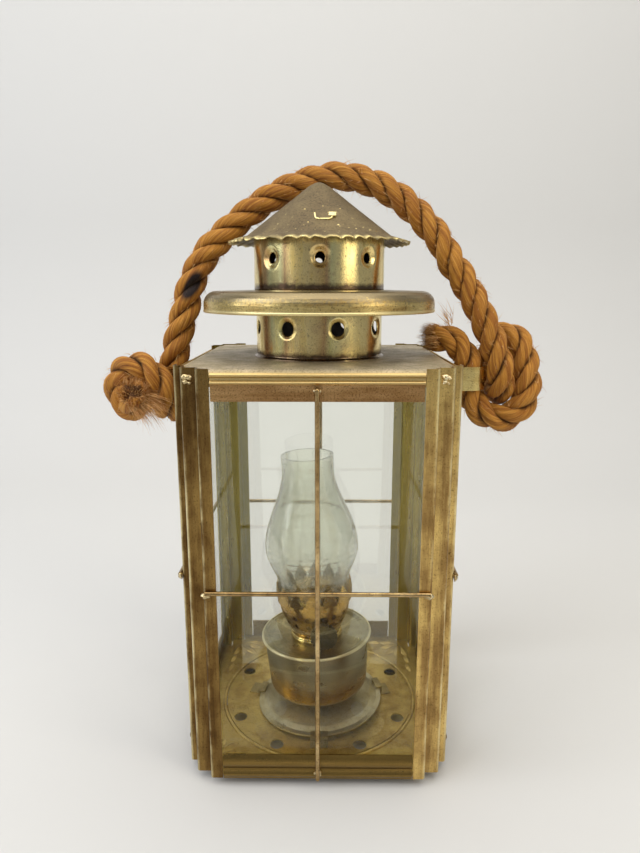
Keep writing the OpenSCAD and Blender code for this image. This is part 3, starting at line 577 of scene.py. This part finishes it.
for n, outward in (("guard_front", (0, -1, 0)), ("guard_right", (1, 0, 0)),
                   ("guard_rear", (0, 1, 0)), ("guard_left", (-1, 0, 0))):
    low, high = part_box(n)
    outward = Vector(outward)
    across = outward.cross(Vector((0, 0, 1)))
    cross_z = low[2] + (front_cross if outward.x == 0 else side_cross)
    for s, z in ((-cross_reach, cross_z), (cross_reach, cross_z),
                 (0, high[2] - 1.6 * MM), (0, low[2] + 1.6 * MM)):
        centre = outward * (half_width + 0.3 * MM) + across * s + Vector((0, 0, z))
        lump(bead_verts, bead_faces, centre, outward, 1.7 * MM, 1.5 * MM, 1.4 * MM, s * 90 + z * 70)
mesh_piece("guard_solder", bead_verts, bead_faces, "lantern", [solder])

# Rope lugs. Each is a strap of bright brass bent to a loop, with its feet soldered to the
# side of the case. The rope keeps it polished.
strap_brass, tree, place, colour, wear, grain = sheet_brass(
    "bent_brass_strap", "#ead28a", "#c2a35e", "#7c6238", 0.3, (27.8, 27.8, 5.556))
finish_brass(tree, colour, wear, grain, 0.2, 0.02)
dress(["rope_lug_left", "rope_lug_right"], strap_brass)

# Roof. The lid is pressed from one sheet. Dust and damp have turned it a flat grey-brown,
# with worn gold along its rounded edge.
roof_brass, tree, place, colour, wear, grain = sheet_brass(
    "weathered_roof_brass", "#beae90", "#a69878", "#84765c", 0.5, (11.11, 11.11, 11.11), 1.2)
facing = put(tree, "SeparateXYZ", {"Vector": put(tree, "NewGeometry").outputs["Normal"]}).outputs["Z"]
edge = put(tree, "MapRange", {"Value": facing, "From Min": 0.9, "From Max": 0.5, "To Max": 0.75})
colour = put(tree, "Mix", {"Factor": edge, "A": colour, "B": "#d2b674"}, data_type="RGBA")
finish_brass(tree, colour, wear, grain, 0.46, 0.12, 0.3)
dress(["roof_plate"], roof_brass)


# Drums. Each is a strip of brass rolled to a short tube and soldered. Its air holes are
# punched from outside, and the punch leaves a dished ring round each one.
drum_holes = 8
drum_cell = 0.45 * MM
drum_columns = 400
drum_sheet = 0.55 * MM
# Size of the painted reflection bands on the drums, in millimetres.
reflection_band_size = (29.4, 29.4, 500)
stain_size = 6.25 * MM


def pressed_drum(name, node, radius, hole_z, hole_r, ring_r, dish, first, flare, material):
    """A tube wall with dished holes, as a fine grid whose cells over a hole are left out."""
    low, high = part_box(node)[0][2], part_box(node)[1][2]
    columns, rows = drum_columns, round((high - low) / drum_cell)
    spots = [math.radians(first + 360 / drum_holes * i - 90) for i in range(drum_holes)]
    places, verts = [], []
    for i in range(rows + 1):
        z = low + (high - low) * i / rows
        for k in range(columns):
            a = 2 * math.pi * k / columns
            spot = min(spots, key=lambda s: abs((a - s + math.pi) % (2 * math.pi) - math.pi))
            turned = (a - spot + math.pi) % (2 * math.pi) - math.pi
            places.append([turned * radius, z - hole_z, spot])
    faces, edge = [], {}
    for i in range(rows):
        for k in range(columns):
            corners = (i * columns + k, i * columns + (k + 1) % columns,
                       (i + 1) * columns + (k + 1) % columns, (i + 1) * columns + k)
            s = sum(places[c][0] for c in corners) / 4
            h = sum(places[c][1] for c in corners) / 4
            widest = max(abs(places[c][0]) for c in corners)
            inside = math.hypot(s, h) < hole_r and widest < 2 * hole_r
            if not inside:
                faces.append(corners)
            for c in corners:
                edge.setdefault(c, set()).add(inside)
    for index, (s, h, spot) in enumerate(places):
        away = math.hypot(s, h)
        if len(edge[index]) == 2:
            s, h, away = s * hole_r / away, h * hole_r / away, hole_r
        t = min(max((ring_r - away) / (ring_r - hole_r), 0), 1)
        foot = flare * max(0, 1 - index // columns / 2)
        reach = radius - dish * t * t * (3 - 2 * t) + foot
        a = spot + s / radius
        verts.append((reach * math.cos(a), reach * math.sin(a), h + hole_z))
    used = sorted({c for f in faces for c in f})
    renumber = {c: i for i, c in enumerate(used)}
    drum = mesh_piece(name, [verts[c] for c in used], [tuple(renumber[c] for c in f) for f in faces],
                      "lantern", [material, flue_soot], (node,))
    wall = drum.modifiers.new("sheet", "SOLIDIFY")
    wall.thickness = drum_sheet
    wall.offset = -1
    wall.material_offset = 1


flue_soot, tree, place, colour, wear, grain = sheet_brass(
    "sooty_flue", "#2a241c", "#1d1914", "#12100d", 0.5, (11.11, 11.11, 11.11))
finish_brass(tree, colour, wear, grain, 0.7, 0.1, 0.2)
drum_brass, tree, place, colour, wear, grain = sheet_brass(
    "rolled_drum_brass", "#faecc2", "#e4d298", "#9a7c50", 0.1, (5.556, 5.556, 66.7), 0.55)
# Painted reflections: pale, greenish and brown bands run up and down the drums.
reflection_band_place = put(tree, "Mapping", {"Vector": place, "Scale": [1 / (s * MM) for s in reflection_band_size]})
reflection_band_noise = put(tree, "TexNoise", {"Vector": reflection_band_place, "Scale": 1.0, "Detail": 2.0})
painted_reflection_bands = put(tree, "ValToRGB", {"Fac": reflection_band_noise}, [
    (0.36, "#fff6d0"), (0.45, "#e0cc96"), (0.5, "#a5773f"), (0.55, "#d8dfb8"), (0.64, "#fff0b8")])
colour = put(tree, "Mix", {"Factor": 0.75, "A": colour, "B": painted_reflection_bands}, data_type="RGBA",
             blend_type="MULTIPLY")
roof_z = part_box("lower_drum")[0][2]
brim_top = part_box("brim")[1][2]
height = put(tree, "SeparateXYZ", {"Vector": place}).outputs["Z"]
# The drums are painted darker in patches just above where each one stands.
drum_feet = put(tree, "MapRange", {"Value": height, "From Min": brim_top + 4.3 * MM,
                                   "From Max": brim_top + 0.8 * MM})
lower_foot = put(tree, "MapRange", {"Value": height, "From Min": roof_z + 5 * MM,
                                    "From Max": roof_z + 1 * MM})
above_brim = put(tree, "Math", {0: height, 1: brim_top - 0.7 * MM}, operation="GREATER_THAN")
upper_foot = put(tree, "Math", {0: drum_feet, 1: above_brim}, operation="MULTIPLY")
feet = put(tree, "Math", {0: lower_foot, 1: upper_foot}, operation="MAXIMUM")
stain_cloud = put(tree, "TexNoise", {"Vector": place, "Scale": 1 / stain_size, "Detail": 5.0,
                                      "Roughness": 0.7})
dark_foot_patches = put(tree, "Math", {0: feet, 1: stain_cloud}, operation="MULTIPLY")
dark_foot_patches = put(tree, "MapRange", {"Value": dark_foot_patches, "From Min": 0.17, "From Max": 0.4, "To Max": 0.95})
colour = put(tree, "Mix", {"Factor": dark_foot_patches, "A": colour, "B": "#564437"}, data_type="RGBA")
blush = put(tree, "MapRange", {"Value": stain_cloud, "From Min": 0.55, "From Max": 0.72, "To Max": 0.5})
colour = put(tree, "Mix", {"Factor": blush, "A": colour, "B": "#a8846a"}, data_type="RGBA")
finish_brass(tree, colour, wear, grain, 0.2, 0.015)
pressed_drum("lower_drum_wall", "lower_drum", radius=27.9 * MM, hole_z=roof_z + 12.9 * MM,
             hole_r=2.9 * MM, ring_r=4.7 * MM, dish=0.55 * MM, first=17, flare=1.2 * MM,
             material=drum_brass)
pressed_drum("upper_drum_wall", "upper_drum", radius=28.5 * MM, hole_z=brim_top + 12.8 * MM,
             hole_r=2.1 * MM, ring_r=5.2 * MM, dish=1.1 * MM, first=1.5, flare=0,
             material=drum_brass)

# Brim. An inverted saucer is spun from sheet and its edge is rolled. Dust lies on its
# shoulder in specks, its side has gold streaks that run round it, and a painted highlight brightens its
# lip.
brim_low, brim_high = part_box("brim")[0][2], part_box("brim")[1][2]
speck_gap = 1.111 * MM
brim_brass, tree, place, colour, wear, grain = sheet_brass(
    "spun_brim_brass", "#dcc480", "#ac9056", "#6b5434", 0.3, (33.3, 33.3, 2.564), 0.9)
height = put(tree, "SeparateXYZ", {"Vector": place}).outputs["Z"]
shoulder = put(tree, "MapRange", {"Value": height, "From Min": brim_low + 3.2 * MM,
                                  "From Max": brim_high - 1.5 * MM, "To Max": 0.72})
dust_specks = put(tree, "TexNoise", {"Vector": place, "Scale": 1 / speck_gap, "Detail": 3.0})
dusty = put(tree, "Math", {0: shoulder, 1: dust_specks}, operation="ADD")
dusty = put(tree, "MapRange", {"Value": dusty, "From Min": 0.62, "From Max": 0.95, "To Max": 0.92})
colour = put(tree, "Mix", {"Factor": dusty, "A": colour, "B": "#8f8163"}, data_type="RGBA")
# Painted highlight along the rolled lip.
lip_highlight = put(tree, "MapRange", {"Value": height, "From Min": brim_low + 1.7 * MM,
                             "From Max": brim_low + 1.2 * MM, "To Max": 0.8})
colour = put(tree, "Mix", {"Factor": lip_highlight, "A": colour, "B": "#f0dfa4"}, data_type="RGBA")
finish_brass(tree, colour, wear, grain, 0.26, 0.06, 0.85)
dress(["brim"], brim_brass)

# Cone cap. The rain cap is spun, and its lip is crimped in small waves. The cone is dull
# with dust, and the waves are painted bright, partly as rubbed metal and partly as painted highlight.
cap_low, cap_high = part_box("cone_cap")
lip_r, cone_r, tip_r = cap_high[0], 31.5 * MM, 2 * MM
lip_z = cap_low[2] + 0.76 * MM
cone_low_z = lip_z + 2.5 * MM
waves, columns = 42, 420
wave_rise, wave_reach = 0.5 * MM, 0.4 * MM
chip_gap = 1.4286 * MM
cap_rings = [(tip_r * s, cap_high[2] - 0.5 * MM * s * s) for s in (0.01, 0.5, 1)]
cap_rings += [(tip_r + (cone_r - tip_r) * s / 12,
               cap_high[2] + (cone_low_z - cap_high[2]) * s / 12) for s in range(1, 13)]
cap_rings += [(cone_r + (lip_r - cone_r) * s / 8, cone_low_z + (lip_z - cone_low_z) * s / 8)
              for s in range(1, 9)]
cap_verts, cap_faces = [], []
for i, (r, z) in enumerate(cap_rings):
    swing = max(0, (r - cone_r) / (lip_r - cone_r))
    for k in range(columns):
        a = 2 * math.pi * k / columns
        drift = 1.3 * noise.noise(Vector((math.cos(a) * 2.2, math.sin(a) * 2.2, 5)))
        size = 0.85 + 0.8 * noise.noise(Vector((math.cos(a) * 4, math.sin(a) * 4, 9)))
        wave = size * (math.sin(waves * a + 4 * drift) + 0.3 * math.sin(2 * waves * a + 5 * drift))
        dent = 0.25 * MM * noise.noise(Vector((math.cos(a) * r * 90, math.sin(a) * r * 90, 2)))
        reach = r - wave_reach * swing * (1 + math.cos(waves * a + 4 * drift))
        cap_verts.append((reach * math.cos(a), reach * math.sin(a),
                          z + wave_rise * swing * wave + (dent if swing == 0 else 0)))
    if i:
        for k in range(columns):
            nxt = (k + 1) % columns
            cap_faces.append(((i - 1) * columns + k, i * columns + k, i * columns + nxt,
                              (i - 1) * columns + nxt))
cap_faces.append(tuple(range(columns)))
cap_brass, tree, place, colour, wear, grain = sheet_brass(
    "weathered_cap_brass", "#84734f", "#716143", "#5e4f35", 0.5, (13.33, 13.33, 13.33), 1.1)
from_axis = put(tree, "VectorMath", {0: place, 1: (1, 1, 0)}, operation="MULTIPLY")
from_axis = put(tree, "VectorMath", {0: from_axis}, operation="LENGTH").outputs["Value"]
chips = put(tree, "TexNoise", {"Vector": place, "Scale": 1 / chip_gap, "Detail": 3.0})
low_part = put(tree, "MapRange", {"Value": from_axis, "From Min": 12 * MM, "From Max": 31 * MM,
                                  "To Min": 0.0, "To Max": 0.05})
chips = put(tree, "Math", {0: chips, 1: low_part}, operation="ADD")
chips = put(tree, "MapRange", {"Value": chips, "From Min": 0.715, "From Max": 0.745})
# The lip is painted pale where worn: partly rubbed brass, partly painted highlight.
lip_wear_and_highlight = put(tree, "MapRange", {"Value": from_axis, "From Min": 36.2 * MM,
                                   "From Max": 38.5 * MM})
rubbed = put(tree, "MapRange", {"Value": wear, "From Min": 0.56, "From Max": 0.44, "To Min": 0.25})
lip_wear_and_highlight = put(tree, "Math", {0: lip_wear_and_highlight, 1: rubbed}, operation="MULTIPLY")
chips_and_lip_highlight = put(tree, "Math", {0: chips, 1: lip_wear_and_highlight}, operation="MAXIMUM")
colour = put(tree, "Mix", {"Factor": chips_and_lip_highlight, "A": colour, "B": "#e8d594"}, data_type="RGBA")
dull = put(tree, "MapRange", {"Value": chips_and_lip_highlight, "To Min": 0.58, "To Max": 0.2})
bare = put(tree, "MapRange", {"Value": chips_and_lip_highlight, "To Min": 0.55, "To Max": 1.0})
surface = put(tree, "BsdfPrincipled", {"Base Color": colour, "Metallic": bare, "Roughness": dull})
finish_material(tree, surface, grain, 0.12)
cap = mesh_piece("cone_cap_sheet", cap_verts, cap_faces, "lantern", [cap_brass],
                 ("cone_cap",))
cap_wall = cap.modifiers.new("sheet", "SOLIDIFY")
cap_wall.thickness = 0.5 * MM
cap_wall.offset = 1

# Tab of the cap's stay. The end of the strip that holds the cap comes through a slot and
# is folded flat. Its edge and one corner have been scraped to bare metal.
tab_low, tab_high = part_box("cap_tab")
tab_at = (Vector(tab_low) + Vector(tab_high)) / 2
cone_rise = 0.766
cone_slope = math.atan(cone_rise)
tab_up = Vector((0, math.cos(cone_slope), math.sin(cone_slope)))
tab_out = Vector((0, -tab_up.z, tab_up.y))


def tab_plate(name, outline, thick, lift, top, rim, replaced=()):
    """A small plate on the slope of the cone. Points run right and up the slope, in mm."""
    count = len(outline)
    verts = []
    for level in (-0.3, thick):
        for x, y in outline:
            spot = tab_at + Vector((x * MM, 0, 0)) + tab_up * y * MM
            verts.append(spot + tab_out * (level + lift) * MM)
    faces = [tuple(range(count, 2 * count)), tuple(reversed(range(count)))]
    faces += [(k, (k + 1) % count, (k + 1) % count + count, k + count) for k in range(count)]
    mesh_piece(name, verts, faces, "lantern", [top, rim], replaced, smooth=False,
               face_material=[0, 0] + [1] * count)


bare_brass, tree, place, colour, wear, grain = sheet_brass(
    "scraped_brass", "#f6e8a8", "#dcc67c", "#a48a50", 0.2, (4.167, 4.167, 4.167), 0.8)
finish_brass(tree, colour, wear, grain, 0.25, 0.1)
bend = 1.7
tongue = [(-4.2, 2.2), (-4.0, -0.6)]
tongue += [(-2.3 - bend * math.cos(a), -0.8 - bend * math.sin(a)) for a in (0.5, 1.0, 1.57)]
tongue += [(1.6 + bend * math.sin(a), -0.8 - bend * math.cos(a)) for a in (0, 0.5, 1.0, 1.57)]
tongue += [(3.4, 2.2)]
tab_plate("cap_stay_tab", tongue, 0.5, 0, bare_brass, bare_brass, ("cap_tab",))
dusty_face = [(x * 0.86 - 0.05, y * 0.8 + 0.35) for x, y in tongue]
tab_plate("cap_stay_face", dusty_face, 0.5, 0.1, cap_brass, cap_brass)
scraped = [(1.6, -0.2), (4.6, -0.4), (4.7, 2.2), (1.8, 2.3)]
tab_plate("scraped_corner", scraped, 0.5, 0.2, bare_brass, bare_brass)

# Floor, base and claws. The pressed floor and the turned base are golden tan, lightly
# stained, and painted with shade underneath. The claws that hold the lamp have tarnished to olive.
floor_brass, tree, place, colour, wear, grain = sheet_brass(
    "pressed_floor_brass", "#d0b66c", "#ab8d4c", "#755c30", 0.25, (11.11, 11.11, 11.11), 0.5)
# Painted shade: below this height the floor, base and clips are near black.
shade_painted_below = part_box("base_pan")[1][2] - 1.2 * MM
height = put(tree, "SeparateXYZ", {"Vector": place}).outputs["Z"]
painted_underside_shade = put(tree, "MapRange", {"Value": height, "From Min": shade_painted_below + 0.3 * MM,
                                   "From Max": shade_painted_below - 0.3 * MM})
colour = put(tree, "Mix", {"Factor": painted_underside_shade, "A": colour, "B": "#1c1811"}, data_type="RGBA")
finish_brass(tree, colour, wear, grain, 0.38, 0.04)
dress(["floor_plate", "base_pan", "base_clips"], floor_brass)
claw_brass, tree, place, colour, wear, grain = sheet_brass(
    "tarnished_claw_brass", "#b4a474", "#94865c", "#686044", 0.5, (11.11, 11.11, 11.11))
finish_brass(tree, colour, wear, grain, 0.42, 0.04)
dress(["foot_claws"], claw_brass)


# Floor ornament. A spray of plain leaves is stamped in low relief in each corner of the
# floor, outside the rolled ring.
def leaf(verts, faces, base, turn, long, wide, high):
    """Adds one pointed leaf with a raised rib, lying flat."""
    start, steps, cells = len(verts), 10, 8
    along = Vector((math.cos(turn), math.sin(turn), 0))
    beside = Vector((-math.sin(turn), math.cos(turn), 0))
    for i in range(steps + 1):
        t = i / steps
        half = wide * math.sin(math.pi * t) ** 0.8 * (1.15 - 0.5 * t)
        crest = high * math.sin(math.pi * min(t * 1.1, 1))
        for k in range(cells + 1):
            s = 2 * k / cells - 1
            rise = crest * (1 - s * s) * (0.75 + 0.25 * math.cos(9 * s))
            verts.append(base + along * long * t + beside * half * s + Vector((0, 0, rise)))
    for i in range(steps):
        for k in range(cells):
            low = start + i * (cells + 1) + k
            faces.append((low, low + 1, low + cells + 2, low + cells + 1))


leaf_verts, leaf_faces = [], []
leaf_root_r = 64.5 * MM
leaf_fan = ((-1.045, 13), (-0.55, 13), (0, 15), (0.55, 13), (1.045, 13))
leaf_wide, leaf_high = 2.5 * MM, 1.5 * MM
bud_long, bud_wide, bud_high = 8 * MM, 1.9 * MM, 1.1 * MM
floor_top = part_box("floor_plate")[1][2] - 0.75 * MM
for quarter in range(4):
    corner = math.pi / 4 + quarter * math.pi / 2
    outward = Vector((math.cos(corner), math.sin(corner), 0))
    root = outward * leaf_root_r + Vector((0, 0, floor_top))
    for fan, long in leaf_fan:
        leaf(leaf_verts, leaf_faces, root, corner + math.pi + fan, long * MM, leaf_wide, leaf_high)
    for side in (-1, 1):
        beside = Vector((-math.sin(corner), math.cos(corner), 0)) * side
        for k in range(2):
            base = root + beside * (9 + 6 * k) * MM - outward * (6 + 6 * k) * MM
            turn = corner + side * (math.pi / 2 + 0.6)
            leaf(leaf_verts, leaf_faces, base, turn, bud_long, bud_wide, bud_high)
mesh_piece("floor_leaves", leaf_verts, leaf_faces, "lantern", [floor_brass])

# Lamp tank and foot. The tank is drawn brass, golden brown below and grey above, the grey
# partly tarnish and partly painted reflection, with a painted highlight on its rolled rim. The foot is
# spun and tinned, and its tin has dulled.
tank_foot_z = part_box("tank_body")[0][2]
tank_brass, tree, place, colour, wear, grain = sheet_brass(
    "drawn_tank_brass", "#b09048", "#8c6e34", "#624e28", 0.35, (16.67, 16.67, 5.556), 0.4)
height = put(tree, "SeparateXYZ", {"Vector": place}).outputs["Z"]
# Grey towards the top: partly tarnish, partly painted reflection.
grey_bloom_and_reflection = put(tree, "MapRange", {"Value": height, "From Min": tank_foot_z + 7 * MM,
                               "From Max": tank_foot_z + 20 * MM, "To Max": 0.85})
colour = put(tree, "Mix", {"Factor": grey_bloom_and_reflection, "A": colour, "B": "#9c9478"}, data_type="RGBA")
finish_brass(tree, colour, wear, grain, 0.28, 0.03)
dress(["tank_body"], tank_brass)
dished_brass, tree, place, colour, wear, grain = sheet_brass(
    "dished_tank_top", "#a59a70", "#8a805c", "#6c6446", 0.4, (11.11, 11.11, 11.11), 0.4)
top_low, top_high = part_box("tank_top")
tank_middle = [(a + b) / 2 for a, b in zip(top_low, top_high)]
tank_rim_r = (top_high[0] - top_low[0]) / 2
from_axis = put(tree, "VectorMath", {0: place, 1: tank_middle}, operation="SUBTRACT")
from_axis = put(tree, "VectorMath", {0: from_axis, 1: (1, 1, 0)}, operation="MULTIPLY")
from_axis = put(tree, "VectorMath", {0: from_axis}, operation="LENGTH").outputs["Value"]
# Painted highlight on the rolled rim of the tank top.
rim = put(tree, "MapRange", {"Value": from_axis, "From Min": tank_rim_r - 1.1 * MM,
                             "From Max": tank_rim_r - 0.6 * MM})
colour = put(tree, "Mix", {"Factor": rim, "A": colour, "B": "#e6dcae"}, data_type="RGBA")
finish_brass(tree, colour, wear, grain, 0.3, 0.03)
dress(["tank_top"], dished_brass)
foot_tin, tree, place, colour, wear, grain = sheet_brass(
    "tinned_foot", "#beb694", "#a49a78", "#7a7258", 0.25, (11.11, 11.11, 11.11), 0.4)
finish_brass(tree, colour, wear, grain, 0.3, 0.03, 0.8)
dress(["lamp_foot"], foot_tin)

# Burner. Heat has browned the spun bowl and its prongs in patches, and the turned filler
# collar below them has stayed a bright yellow. The knob is cast, and dark with soot.
burner_brass, tree, place, colour, wear, grain = sheet_brass(
    "heated_burner_brass", "#c8a258", "#98763c", "#5a4426", 0.2, (8.333, 8.333, 8.333), 0.8)
finish_brass(tree, colour, wear, grain, 0.2, 0.03)
dress(["burner_bowl", "chimney_crown", "flame_dome", "wick_tube"], burner_brass)
collar_brass, tree, place, colour, wear, grain = sheet_brass(
    "turned_collar_brass", "#f8e090", "#dcbc66", "#8c6f38", 0.2, (16.67, 16.67, 3.7))
finish_brass(tree, colour, wear, grain, 0.2, 0.02)
dress(["filler_collar"], collar_brass)
knob_brass, tree, place, colour, wear, grain = sheet_brass(
    "sooty_knob_brass", "#5a523a", "#423c2a", "#2a261b", 0.5, (8.333, 8.333, 8.333))
finish_brass(tree, colour, wear, grain, 0.4, 0.05)
dress(["wick_knob", "wick_spindle"], knob_brass)

# Wick. Flat woven cotton, off-white and matt, with threads about a millimetre apart. The
# flat tube holds it, and the toothed wheels move it.
thread_gap = 1.05 * MM
wick_cotton, tree = new_material("woven_cotton")
place = put(tree, "TexCoord").outputs["Object"]
threads = put(tree, "TexWave", {"Vector": place, "Scale": math.pi / (10 * thread_gap),
                                "Distortion": 1.5}, bands_direction="Z")
weave = put(tree, "ValToRGB", {"Fac": threads}, [(0.2, "#a0957a"), (0.8, "#ddd4bc")])
surface = put(tree, "BsdfPrincipled", {"Base Color": weave, "Roughness": 0.9})
finish_material(tree, surface, threads, 0.2)
dress(["wick"], wick_cotton)

# Studio. A pale sweep of paper runs from the floor up behind the lantern, with one large
# soft lamp above, one at the left and a narrower one at the right.
sweep_front, sweep_back = -1.2, 0.35
sweep_bend, sweep_top, sweep_half = 0.3, 1.6, 2
paper, paper_tree = new_material("backdrop_paper")
paper_surface = put(paper_tree, "BsdfPrincipled", {"Base Color": "#cfcfcd", "Roughness": 0.9})
finish_material(paper_tree, paper_surface)
sweep_verts, sweep_faces = [], []
sweep_profile = [(sweep_front, 0), (sweep_back, 0)]
sweep_profile += [(sweep_back + sweep_bend * math.sin(a), sweep_bend - sweep_bend * math.cos(a))
                  for a in [math.radians(d) for d in range(10, 91, 10)]]
sweep_profile += [(sweep_back + sweep_bend, sweep_top)]
for y, z in sweep_profile:
    sweep_verts += [(-sweep_half, y, z), (sweep_half, y, z)]
for i in range(len(sweep_profile) - 1):
    sweep_faces.append((2 * i, 2 * i + 1, 2 * i + 3, 2 * i + 2))
sweep_mesh = bpy.data.meshes.new("paper_sweep")
sweep_mesh.from_pydata(sweep_verts, [], sweep_faces)
sweep_mesh.shade_smooth()
sweep_mesh.materials.append(paper)
sweep = bpy.data.objects.new("paper_sweep", sweep_mesh)
scene.collection.objects.link(sweep)


def soft_lamp(name, place, aim, width, height, watts, colour):
    """A rectangular soft lamp that points at a place on the lantern."""
    data = bpy.data.lights.new(name, "AREA")
    data.shape = "RECTANGLE"
    data.size, data.size_y = width, height
    data.energy = watts
    data.color = rgb(colour)[:3]
    obj = bpy.data.objects.new(name, data)
    obj.location = place
    obj.rotation_euler = (Vector(aim) - Vector(place)).to_track_quat("-Z", "Y").to_euler()
    scene.collection.objects.link(obj)


soft_lamp("overhead", (0, -0.15, 1.1), (0, 0, 0.1), 1.3, 1.3, 11, "#fffaf2")
soft_lamp("left_window", (-1.0, -0.45, 0.75), (0, 0, 0.15), 0.9, 0.9, 9.5, "#f4f7ff")
soft_lamp("right_strip", (0.85, -0.6, 0.65), (0, 0, 0.15), 0.45, 0.9, 4, "#fff4e0")
world = bpy.data.worlds.new("studio_air")
scene.world = world
world.use_nodes = True
world.node_tree.nodes["Background"].inputs["Color"].default_value = rgb("#b9bcc0")
world.node_tree.nodes["Background"].inputs["Strength"].default_value = 0.55
